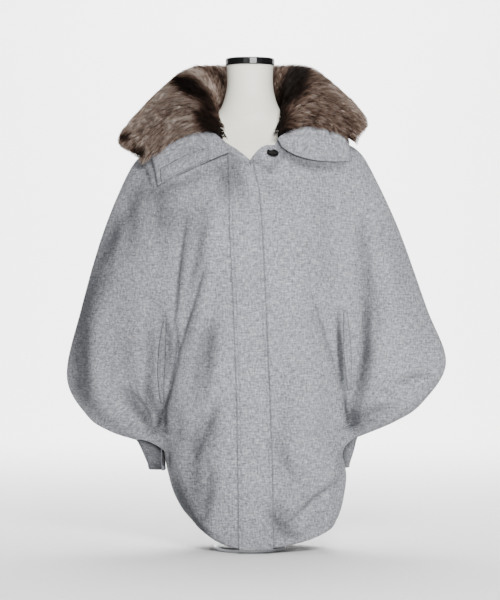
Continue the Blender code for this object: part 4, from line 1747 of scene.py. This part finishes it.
DARK_MARKS = [
    Mark((-127, 912), (-106, 898), 11, 1.0),
    Mark((-120, 898), (-100, 880), 9, 1.0),
    Mark((-108, 900), (-82, 868), 9, 0.92),
    Mark((-82, 868), (-70, 838), 9, 0.8),
    Mark((-84, 838), (-60, 806), 13, 0.85),
    Mark((-66, 806), (-54, 790), 9, 0.95),
    Mark((-214, 779), (-203, 779), 8, 1.0),
    Mark((-238, 806), (-228, 808), 8, 0.8),
    Mark((92, 920), (80, 884), 15, 1.15),
    Mark((80, 884), (62, 856), 12, 1.0),
    Mark((60, 858), (54, 812), 12, 0.85),
    Mark((-96, 938), (-74, 918), 5, 0.5),
    Mark((-66, 930), (-56, 896), 6, 0.6),
    Mark((66, 808), (52, 792), 9, 1.0),
    Mark((182, 803), (188, 800), 6, 0.7),
]
PALE_MARKS = [
    Mark((-108, 936), (-84, 896), 5, 1.0),
    Mark((-84, 896), (-62, 858), 5, 1.0),
    Mark((64, 934), (54, 900), 3, 0.6),
    Mark((-236, 806), (-170, 880), 12, 0.3),
    Mark((-170, 880), (-140, 905), 8, 0.7),
    Mark((228, 826), (150, 905), 11, 1.0),
    Mark((230, 842), (212, 804), 14, 1.0),
    Mark((-150, 838), (-98, 828), 8, 0.5),
]


class Roots(NamedTuple):
    """Where hairs or locks start: place, skin's normal, flow, fur's height, and room to the skin's edge."""

    place: Grid
    normal: Grid
    flow: Grid
    height: Grid
    room: Grid


@dataclass
class Fur:
    """The fur that lines the collar: a dense dark under-fur, and hairs in pointed locks over it."""

    form: CollarForm
    finishes: Wardrobe
    first: float = 0.93
    last: float = 11.07
    shares: tuple[float, ...] = (0.0, 0.15, 0.31, 0.47, 0.63, 0.79, 0.94, 1.0)
    thickness: tuple[float, ...] = (9.0, 21.0, 23.0, 20.0, 15.0, 10.0, 6.5, 3.5)
    end_share: float = 0.4
    gap: float = 0.3
    under_share: float = 0.5
    under_wall: float = 3.0
    hairs: int = 46000
    clumps: int = 5200
    batch: int = 2000
    hair_length: tuple[float, float] = (15.0, 27.0)
    hair_radius: tuple[float, float] = (0.2, 0.42)
    overhang: float = 2.0
    end_splay: float = 22.0
    end_overhang: float = 9.0
    end_lean: float = 0.35
    neck_band: float = 9.0
    neck_reach: float = 4.0
    droop: float = 0.25
    tone: float = 0.56
    pieces_count: int = 3
    seed: int = 11
    cut: Cut = Cut(0.54, 0.27, 0.105)

    def heights(self, along: Grid, across: Grid) -> Grid:
        """The fur's thickness.

        Args:
            along: Station places.
            across: Shares from the neck to the edge.

        Returns:
            A thickness for each share and place.
        """
        profile = np.interp(across, self.shares, self.thickness)
        from_end = np.minimum(along - self.first, self.last - along) * 2
        full = np.minimum(1.0, self.end_share + (1 - self.end_share) * from_end / 2)
        return profile[:, None] * full[None, :]

    def covered(self, roots: Grid, marks: Sequence[Mark]) -> Grid:
        """How far stripes cover each root, from 0 to 1.

        Args:
            roots: The places.
            marks: The stripes.

        Returns:
            A share for each place.
        """
        total = np.zeros(len(roots))
        for mark in marks:
            first, run = np.array(mark.start, float), np.array(mark.end, float) - np.array(mark.start, float)
            off = roots[:, [0, 2]] - first
            share = np.clip(off @ run / run.dot(run), 0, 1)
            away = np.linalg.norm(off - share[:, None] * run, axis=1)
            total = np.maximum(total, np.minimum(1.0, mark.strength * np.clip(1.5 - away / mark.width, 0, 1)))
        return total

    def build(self) -> None:
        """Makes the under-fur and the hairs."""
        along = np.linspace(self.first, self.last, 161)
        across = np.linspace(0, 1, 41)
        skin = self.form.surface(along, across)
        tall = self.heights(along, across)
        under = skin + grid_normals(skin) * (self.gap + tall * self.under_share)[:, :, None]
        pelt = patch("fur_pelt", under, lay_flat(under, 80), [self.finishes.fur])
        flat = under.reshape(-1, 3)
        speckle = np.random.default_rng(self.seed).random(len(flat))
        self.set_tone(pelt.data, 0.27 + 0.1 * speckle - 0.3 * self.covered(flat, DARK_MARKS))
        thicken(pelt, self.under_wall)
        hand_over(pelt, "fur_collar")
        self.grow()

    def set_tone(self, mesh: bpy.types.Mesh, tone: Grid) -> None:
        """Gives each vertex its tone."""
        attribute = mesh.attributes.new(FUR_TONE, "FLOAT", "POINT")
        attribute.data.foreach_set("value", np.clip(tone, 0, 1))

    def tables(self) -> Roots:
        """Works out what hairs need to know at each point of a fine grid of the skin.

        Returns:
            What is known at each of the grid's points.
        """
        along, across = np.linspace(self.first, self.last, 241), np.linspace(0, 1, 61)
        skin = self.form.surface(along, across)
        flow, aside = unit(np.gradient(skin, axis=0)), unit(np.gradient(skin, axis=1))
        # Near its two ends the fur also leans over the end
        reach, from_neck = lengths(skin, 1), lengths(skin, 0)
        leaning = np.exp(-((reach[:, -1:] - reach) / self.end_splay)) - np.exp(-(reach / self.end_splay))
        flow = unit(flow + aside * (self.end_lean * leaning)[:, :, None])
        to_edge = lengths(skin[::-1], 0)[::-1].copy()
        # Beside the neck it leans the other way, a little over its seam
        by_neck = from_neck < self.neck_band
        flow[by_neck] *= -1
        to_edge[by_neck] = self.neck_reach
        room = np.stack([to_edge, np.abs(leaning)], axis=2)
        return Roots(skin, grid_normals(skin), flow, self.heights(along, across)[:, :, None], room)

    def sample(self, tables: Roots, count: int, rng: np.random.Generator) -> Roots:
        """Spreads roots evenly over the skin's area.

        Args:
            tables: What is known at the grid's points.
            count: How many roots.
            rng: The random draws.

        Returns:
            What is known at each root.
        """
        area = cell_areas(tables.place)
        chance = np.cumsum(area.ravel() / area.sum())
        cell = np.searchsorted(chance, rng.random(count)).clip(0, area.size - 1)
        row, column = np.divmod(cell, area.shape[1])
        u, v = rng.random(count)[:, None], rng.random(count)[:, None]
        result = []
        for table in tables:
            low = table[row, column] * (1 - u) + table[row, column + 1] * u
            high = table[row + 1, column] * (1 - u) + table[row + 1, column + 1] * u
            result.append(low * (1 - v) + high * v)
        return Roots(*result)

    def tips(self, start: Grid, roots: Roots, length: Grid, wander: Grid) -> Grid:
        """Where hairs end: not far past the skin's outer edge.

        Args:
            start: Where they leave the under-fur.
            roots: Their roots.
            length: Their lengths.
            wander: How far each leaves the flow.

        Returns:
            Their tips.
        """
        lift = np.clip(0.45 * roots.height[:, 0] / length, 0.2, 0.75)[:, None]
        heading = roots.flow + wander
        heading[:, 2] -= self.droop
        heading = unit(heading - roots.normal * np.sum(heading * roots.normal, axis=1, keepdims=True))
        level = np.sqrt(1 - lift**2) * length[:, None]
        outward = np.maximum(np.sum(heading * roots.flow, axis=1, keepdims=True), 0.05)
        spare = roots.room[:, :1] + self.overhang + self.end_overhang * roots.room[:, 1:]
        return start + roots.normal * lift * length[:, None] + heading * np.minimum(level, spare / outward)

    def grow(self) -> None:
        """Grows the hairs, in locks that share their tips."""
        rng = np.random.default_rng(self.seed)
        tables = self.tables()
        roots, locks = self.sample(tables, self.hairs, rng), self.sample(tables, self.clumps, rng)
        count = len(roots.place)
        start = roots.place + roots.normal * (self.gap + roots.height * self.under_share - 0.6)
        lock_start = locks.place + locks.normal * (self.gap + locks.height * self.under_share)
        low, high = self.hair_length
        lock_length = low + (high - low) * rng.random(len(lock_start))
        lock_wander = rng.normal(0, 0.2, (len(lock_start), 3))
        lock_tip = self.tips(lock_start, locks, lock_length, lock_wander)
        nearest = np.empty(count, dtype=int)
        for i in range(0, count, self.batch):
            gaps = np.linalg.norm(start[i : i + self.batch, None] - lock_start[None], axis=2)
            nearest[i : i + self.batch] = gaps.argmin(axis=1)
        length = lock_length[nearest] * (0.75 + 0.4 * rng.random(count))
        wander = lock_wander[nearest] + rng.normal(0, 0.12, (count, 3))
        own_tip = self.tips(start, roots, length, wander)
        pull = (0.2 + 0.3 * rng.random(count))[:, None]
        end = own_tip * (1 - pull) + (lock_tip[nearest] + (start - lock_start[nearest]) * 0.25) * pull
        bow = start + (end - start) * 0.5 + roots.normal * (0.16 * length)[:, None]
        bow += rng.normal(0, 0.5, bow.shape)
        dark, pale = self.covered(start, DARK_MARKS), self.covered(start, PALE_MARKS)
        lock_tone = rng.normal(0, 0.1, len(lock_start))[nearest]
        # The fur of the wearer's right side is paler
        middle = np.exp(-(((np.abs(start[:, 0]) - 52) / 44) ** 4)) * np.clip((start[:, 2] - 850) / 30, 0, 1)
        side_tone = -0.05 - 0.1 * np.clip(start[:, 0] / 60, -1, 1) + 0.24 * pale - 0.22 * middle
        tone = self.tone + side_tone + lock_tone + rng.normal(0, 0.12, count)
        tone = tone * (1 - dark) + dark * (0.03 + 0.05 * rng.random(count))
        tip_tone = tone + (0.26 + 0.14 * rng.random(count)) * (1 - 0.9 * dark)
        thin, thick = self.hair_radius
        radius = thin + (thick - thin) * rng.random(count) ** 1.6
        tones = np.stack([tone * 0.5, tone, tip_tone], axis=1)
        order = np.argsort(start[:, 0])
        for number, part in enumerate(np.array_split(order, self.pieces_count)):
            spots = (start[part], bow[part], end[part])
            self.join(f"fur_hairs_{number + 1}", spots, roots.normal[part], radius[part], tones[part])

    def join(self, name: str, spots: tuple[Grid, Grid, Grid], out: Grid, radius: Grid, tones: Grid) -> None:
        """Joins closed three-sided hairs into one mesh.

        Args:
            name: The piece's name.
            spots: Where each hair starts, its middle off the straight line, and its tip.
            out: The skin's normal at its root.
            radius: Its thickness near the root.
            tones: Its tone at the root, the middle and the tip.
        """
        start, bow, end = spots
        side = unit(np.cross(end - start, out))
        other = unit(np.cross(end - start, side))
        levels = []
        for spot, share in ((start, 1.0), (bow, 0.8)):
            for turn in (0.0, 2 * math.pi / 3, 4 * math.pi / 3):
                spread = side * math.cos(turn) + other * math.sin(turn)
                levels.append(spot + spread * (radius * share)[:, None])
        verts = np.stack([*levels, end], axis=1).reshape(-1, 3) * MM
        pattern = np.array(
            [[0, 2, 1], [0, 1, 4], [0, 4, 3], [1, 2, 5], [1, 5, 4], [2, 0, 3], [2, 3, 5]]
            + [[3, 4, 6], [4, 5, 6], [5, 3, 6]]
        )
        faces = (pattern[None] + (np.arange(len(start)) * 7)[:, None, None]).reshape(-1, 3)
        mesh = bpy.data.meshes.new(name)
        mesh.vertices.add(len(verts))
        mesh.vertices.foreach_set("co", verts.ravel())
        mesh.loops.add(faces.size)
        mesh.loops.foreach_set("vertex_index", faces.ravel().astype(np.int32))
        mesh.polygons.add(len(faces))
        mesh.polygons.foreach_set("loop_start", np.arange(0, faces.size, 3, dtype=np.int32))
        mesh.update(calc_edges=True)
        mesh.shade_smooth()
        self.set_tone(mesh, tones[:, [0, 0, 0, 1, 1, 1, 2]].ravel())
        piece = add_object(name, mesh, [self.finishes.fur])
        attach(piece, BODY)


# Pockets and the button


class PocketLine(NamedTuple):
    """Where a pocket's welt runs, top to bottom, in a front view, and its shade."""

    side: str
    top: tuple[float, float]
    middle: tuple[float, float]
    low: tuple[float, float]
    shade: float


@dataclass
class Pockets:
    """The welts beside the two upright pocket openings."""

    tree: BVHTree
    finishes: Wardrobe
    stitches: Stitches
    width: float = 15.0
    lift: float = 0.8
    wall: float = 2.6
    steps: int = 60
    columns: int = 13
    tightened: int = 8
    cut: Cut = Cut(0.016, 0.165, 0.0022)
    lines: tuple[PocketLine, ...] = (
        PocketLine("right", (-163, 446), (-170, 366), (-170, 288), 0.4),
        PocketLine("left", (183, 466), (187, 390), (191, 314), 0.14),
    )

    def build(self) -> None:
        """Makes both welts."""
        share = np.linspace(0, 1, self.steps + 1)
        half = self.width / 2 * (0.45 + 0.55 * np.sin(math.pi * share))[::-1]
        places = np.linspace(-1, 1, self.columns)
        for line in self.lines:
            corners = (np.array(place, float) for place in (line.top, line.middle, line.low))
            path = curve(*corners, share[:, None])[::-1]
            grid = np.array(
                [
                    [on_front(self.tree, x + place * reach, z)[0] for place in places]
                    for (x, z), reach in zip(path, half)
                ]
            )
            # The strip is drawn tight over small creases
            y = grid[:, :, 1]
            for _ in range(self.tightened):
                y[1:-1] = (y[:-2] + 2 * y[1:-1] + y[2:]) / 4
                y[:, 1:-1] = (y[:, :-2] + 2 * y[:, 1:-1] + y[:, 2:]) / 4
            edge = (1 - np.abs(places))[None, :] * half[:, None]
            lift = self.lift + self.wall - 1.2 * bell(edge, 1.4)
            top = grid + grid_normals(grid) * lift[:, :, None]
            shade = 0.5 * bell(edge, 1.5) + line.shade
            piece = patch(f"pocket_{line.side}_welt", top, lay_straight(top), [self.finishes.wool], shade=shade)
            thicken(piece, self.wall)
            self.stitches.row(top[4:-4, 3], grid_normals(top)[4:-4, 3])
            hand_over(piece, f"pocket_{line.side}")


@dataclass
class NeckButton:
    """The dark button at the neck, with a raised rim and a dished face."""

    tree: BVHTree
    finishes: Wardrobe
    place: tuple[float, float] = (43.0, 768.0)
    radius: float = 11.5
    thick: float = 3.4
    lift: float = 1.4
    rim: float = 2.0
    round_edge: float = 0.9
    slope: float = 0.8
    dish: float = 0.9
    boss_in: float = 4.2
    boss: float = 0.25
    tilt: float = 0.85

    def build(self) -> None:
        """Makes the button."""
        hit, normal = on_front(self.tree, *self.place)
        disc = bmesh.new()
        bmesh.ops.create_circle(disc, cap_ends=True, segments=48, radius=self.radius)
        raised = bmesh.ops.extrude_face_region(disc, geom=disc.faces[:])
        top = [item for item in raised["geom"] if isinstance(item, bmesh.types.BMFace)][0]
        bmesh.ops.translate(disc, vec=(0, 0, self.thick), verts=top.verts[:])
        bmesh.ops.bevel(
            disc, geom=top.edges[:], offset=self.round_edge, segments=4, profile=0.5, affect="EDGES", material=-1
        )
        top = max(disc.faces, key=lambda f: (round(f.calc_center_median().z, 4), f.calc_area()))
        for inset, depth in (
            (self.rim - self.round_edge, 0.0),
            (self.slope, -self.dish),
            (self.boss_in, self.boss),
        ):
            bmesh.ops.inset_region(disc, faces=[top], thickness=inset, depth=depth)
        bmesh.ops.recalc_face_normals(disc, faces=disc.faces)
        for item in disc.faces:
            item.smooth = True
        turn = (normal + Vector((0, 0, self.tilt))).normalized().to_track_quat("Z", "Y").to_matrix().to_4x4()
        spot = hit + normal * self.lift
        bmesh.ops.transform(disc, matrix=Matrix.Scale(MM, 4) @ Matrix.Translation(spot) @ turn, verts=disc.verts)
        piece = as_object("neck_button", disc, [self.finishes.horn])
        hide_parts("button")
        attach(piece, BODY)


# The display torso

# Height, half width, half depth and power of level slices, from the flat underside to the top of the
# neck. A power of 2 is an ellipse, and a higher one is squarer.
TORSO_SLICES = [
    (158, 112, 78, 2.25),
    (166, 128, 91, 2.25),
    (190, 142, 101, 2.25),
    (235, 147, 106, 2.25),
    (300, 139, 99, 2.25),
    (360, 121, 88, 2.25),
    (410, 113, 84, 2.25),
    (470, 120, 91, 2.25),
    (530, 131, 103, 2.25),
    (585, 139, 114, 2.25),
    (640, 146, 106, 2.25),
    (690, 158, 95, 2.25),
    (730, 171, 84, 2.25),
    (765, 177, 74, 2.25),
    (790, 164, 61, 2.25),
    (812, 132.2, 50, 1.9),
    (830, 97, 43, 1.9),
    (845, 70.3, 41, 1.9),
    (862, 57, 43, 2.25),
    (885, 49, 46, 2.25),
    (910, 45, 46.5, 2.25),
    (944, 46.5, 49.5, 2.25),
]


@dataclass
class DisplayTorso:
    """The limbless torso, smoothly rounded, and its cap and stand, whose solids show as they are."""

    finishes: Wardrobe
    columns: int = 96
    steps: int = 4
    inset: float = 0.7
    smoothed: int = 3

    def build(self) -> None:
        """Makes the torso as one smooth closed form."""
        last = len(TORSO_SLICES) - 1
        table = smooth_rows(TORSO_SLICES, np.linspace(0, last, last * self.steps + 1))
        # The rings keep their heights, and their sizes are smoothed
        for _ in range(self.smoothed):
            table[1:-1, 1:] = (table[:-2, 1:] + 2 * table[1:-1, 1:] + table[2:, 1:]) / 4
        turn = np.linspace(0, 2 * math.pi, self.columns + 1)
        rows = []
        for z, half_width, half_depth, power in table:
            x, y = (
                (half - self.inset) * np.sign(wave) * np.abs(wave) ** (2 / power)
                for half, wave in ((half_width, np.cos(turn)), (half_depth, np.sin(turn)))
            )
            rows.append(np.stack([x, y, np.full_like(x, z)], axis=1))
        shell = patch("display_torso", np.array(rows), None, [self.finishes.shell], closed=True)
        maker = bmesh.new()
        maker.from_mesh(shell.data)
        rims = [edge for edge in maker.edges if edge.is_boundary]
        middle_z = (TORSO_SLICES[0][0] + TORSO_SLICES[-1][0]) / 2 * MM
        for upper in (True, False):
            rim = [edge for edge in rims if (edge.verts[0].co.z > middle_z) == upper]
            bmesh.ops.contextual_create(maker, geom=rim)
        bmesh.ops.recalc_face_normals(maker, faces=maker.faces)
        maker.to_mesh(shell.data)
        maker.free()
        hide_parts("torso")
        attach(shell, BODY)

    def dress(self, nodes: dict[str, Thing]) -> None:
        """Gives the solids of the cap and the stand their finishes.

        Args:
            nodes: The solids by name.
        """
        steel = self.finishes.steel
        for name, material in (("neck_cap", self.finishes.cap), ("pole", steel), ("base", steel)):
            for place in nodes[name].material_slots:
                place.material = material


# The studio


@dataclass
class Studio:
    """A pale seamless sweep, soft lights and the camera, all in metres."""

    floor: str = "#F7F7F7"
    floor_roughness: float = 0.9
    view_width: float = 0.975
    view_height: float = 0.4865
    distance: float = 5.2
    near_plane: float = -0.015
    sensor: float = 36.0
    wall: float = 6.4
    wall_turn: float = 4.0
    bend: float = 2.0
    bend_steps: int = 21
    reach: float = 8.0
    room_light: float = 0.1
    # Name, place, aim, side and watts of each soft light
    lamps: tuple[tuple[str, tuple[float, ...], tuple[float, ...], float, float], ...] = (
        ("key", (0.55, -4.0, 1.95), (0, 0, 0.5), 1.0, 290),
        ("top", (0.2, 0.3, 3.0), (0, 0, 0.2), 1.6, 46),
        ("floor", (0.0, 2.6, 3.4), (0, 2.8, 0.0), 2.6, 215),
        ("sweep", (0.0, 4.2, 3.6), (0, 6.4, 0.7), 3.0, 520),
    )

    def sweep(self) -> None:
        """Makes the floor, which curves up into a wall behind any camera that looks from behind."""
        profile = [(-self.reach, 0.0), (self.wall - self.bend, 0.0)]
        for i in range(1, self.bend_steps + 1):
            turn = math.pi / 2 * i / self.bend_steps
            profile.append((self.wall - self.bend * (1 - math.sin(turn)), self.bend * (1 - math.cos(turn))))
        profile += [(self.wall, self.wall_turn), (self.wall, self.reach)]
        maker = bmesh.new()
        bmesh.ops.create_grid(maker, x_segments=1, y_segments=len(profile) - 1, size=1.0)
        maker.verts.ensure_lookup_table()
        for vertex in maker.verts:
            vertex.co = (self.reach if vertex.index % 2 else -self.reach, *profile[vertex.index // 2])
        for face in maker.faces:
            face.smooth = True
        paper = Graph("matt_paper_sweep", Base_Color=linear(self.floor), Roughness=self.floor_roughness)
        as_object("floor_sweep", maker, [paper.material])

    def lights(self) -> None:
        """Adds the lights and the even light of the room."""
        for name, place, aim, side, power in self.lamps:
            data = bpy.data.lights.new(name, "AREA")
            data.shape = "SQUARE"
            data.size = side
            data.energy = power
            lamp = bpy.data.objects.new(name, data)
            lamp.location = place
            lamp.rotation_euler = (Vector(aim) - Vector(place)).to_track_quat("-Z", "Y").to_euler()
            bpy.context.scene.collection.objects.link(lamp)
        world = bpy.data.worlds.new("room")
        world.use_nodes = True
        sky = world.node_tree.nodes["Background"]
        sky.inputs["Color"].default_value = (1, 1, 1, 1)
        sky.inputs["Strength"].default_value = self.room_light
        bpy.context.scene.world = world

    def camera(self) -> None:
        """Adds the camera, level and straight in front."""
        data = bpy.data.cameras.new("camera")
        data.sensor_fit = "HORIZONTAL"
        data.sensor_width = self.sensor
        data.lens = self.sensor * self.distance / self.view_width
        data.clip_end = 50.0
        camera = bpy.data.objects.new("camera", data)
        camera.location = (0.0, self.near_plane - self.distance, self.view_height)
        camera.rotation_euler = (math.pi / 2, 0.0, 0.0)
        bpy.context.scene.collection.objects.link(camera)
        bpy.context.scene.camera = camera

    def build(self) -> None:
        """Sets up the whole studio."""
        self.sweep()
        self.lights()
        self.camera()


def cloth_tree(pieces: Sequence[Thing]) -> BVHTree:
    """A search tree over finished cloth, for what lies on it.

    Args:
        pieces: The cloth.

    Returns:
        The tree, in millimetres.
    """
    verts: list[Vector] = []
    faces: list[list[int]] = []
    for piece in pieces:
        start = len(verts)
        verts += [v.co / MM for v in piece.data.vertices]
        faces += [[start + i for i in p.vertices] for p in piece.data.polygons]
    return BVHTree.FromPolygons(verts, faces)


def main() -> None:
    """Builds every piece in order."""
    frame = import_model()
    logging.basicConfig(level=logging.INFO, format="%(message)s")
    finishes = Wardrobe()
    Studio().build()
    torso = DisplayTorso(finishes)
    torso.build()
    torso.dress(frame["nodes"])
    form = JacketForm()
    stitches = Stitches()
    panels = Panels(form, finishes, stitches)
    panels.build()
    fly = FlyFront(form, finishes, stitches).build()
    Cuffs(form, finishes).build()
    tree = cloth_tree([panels.pieces["front_left"], panels.pieces["front_right"], fly])
    collar_form = CollarForm(tree)
    Collar(collar_form, finishes, stitches).build()
    CollarTab(collar_form, finishes, stitches).build()
    Fur(collar_form, finishes).build()
    Pockets(tree, finishes, stitches).build()
    NeckButton(tree, finishes).build()
    sewing = stitches.build("topstitching", finishes.thread)
    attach(sewing, BODY)


if __name__ == "__main__":
    main()
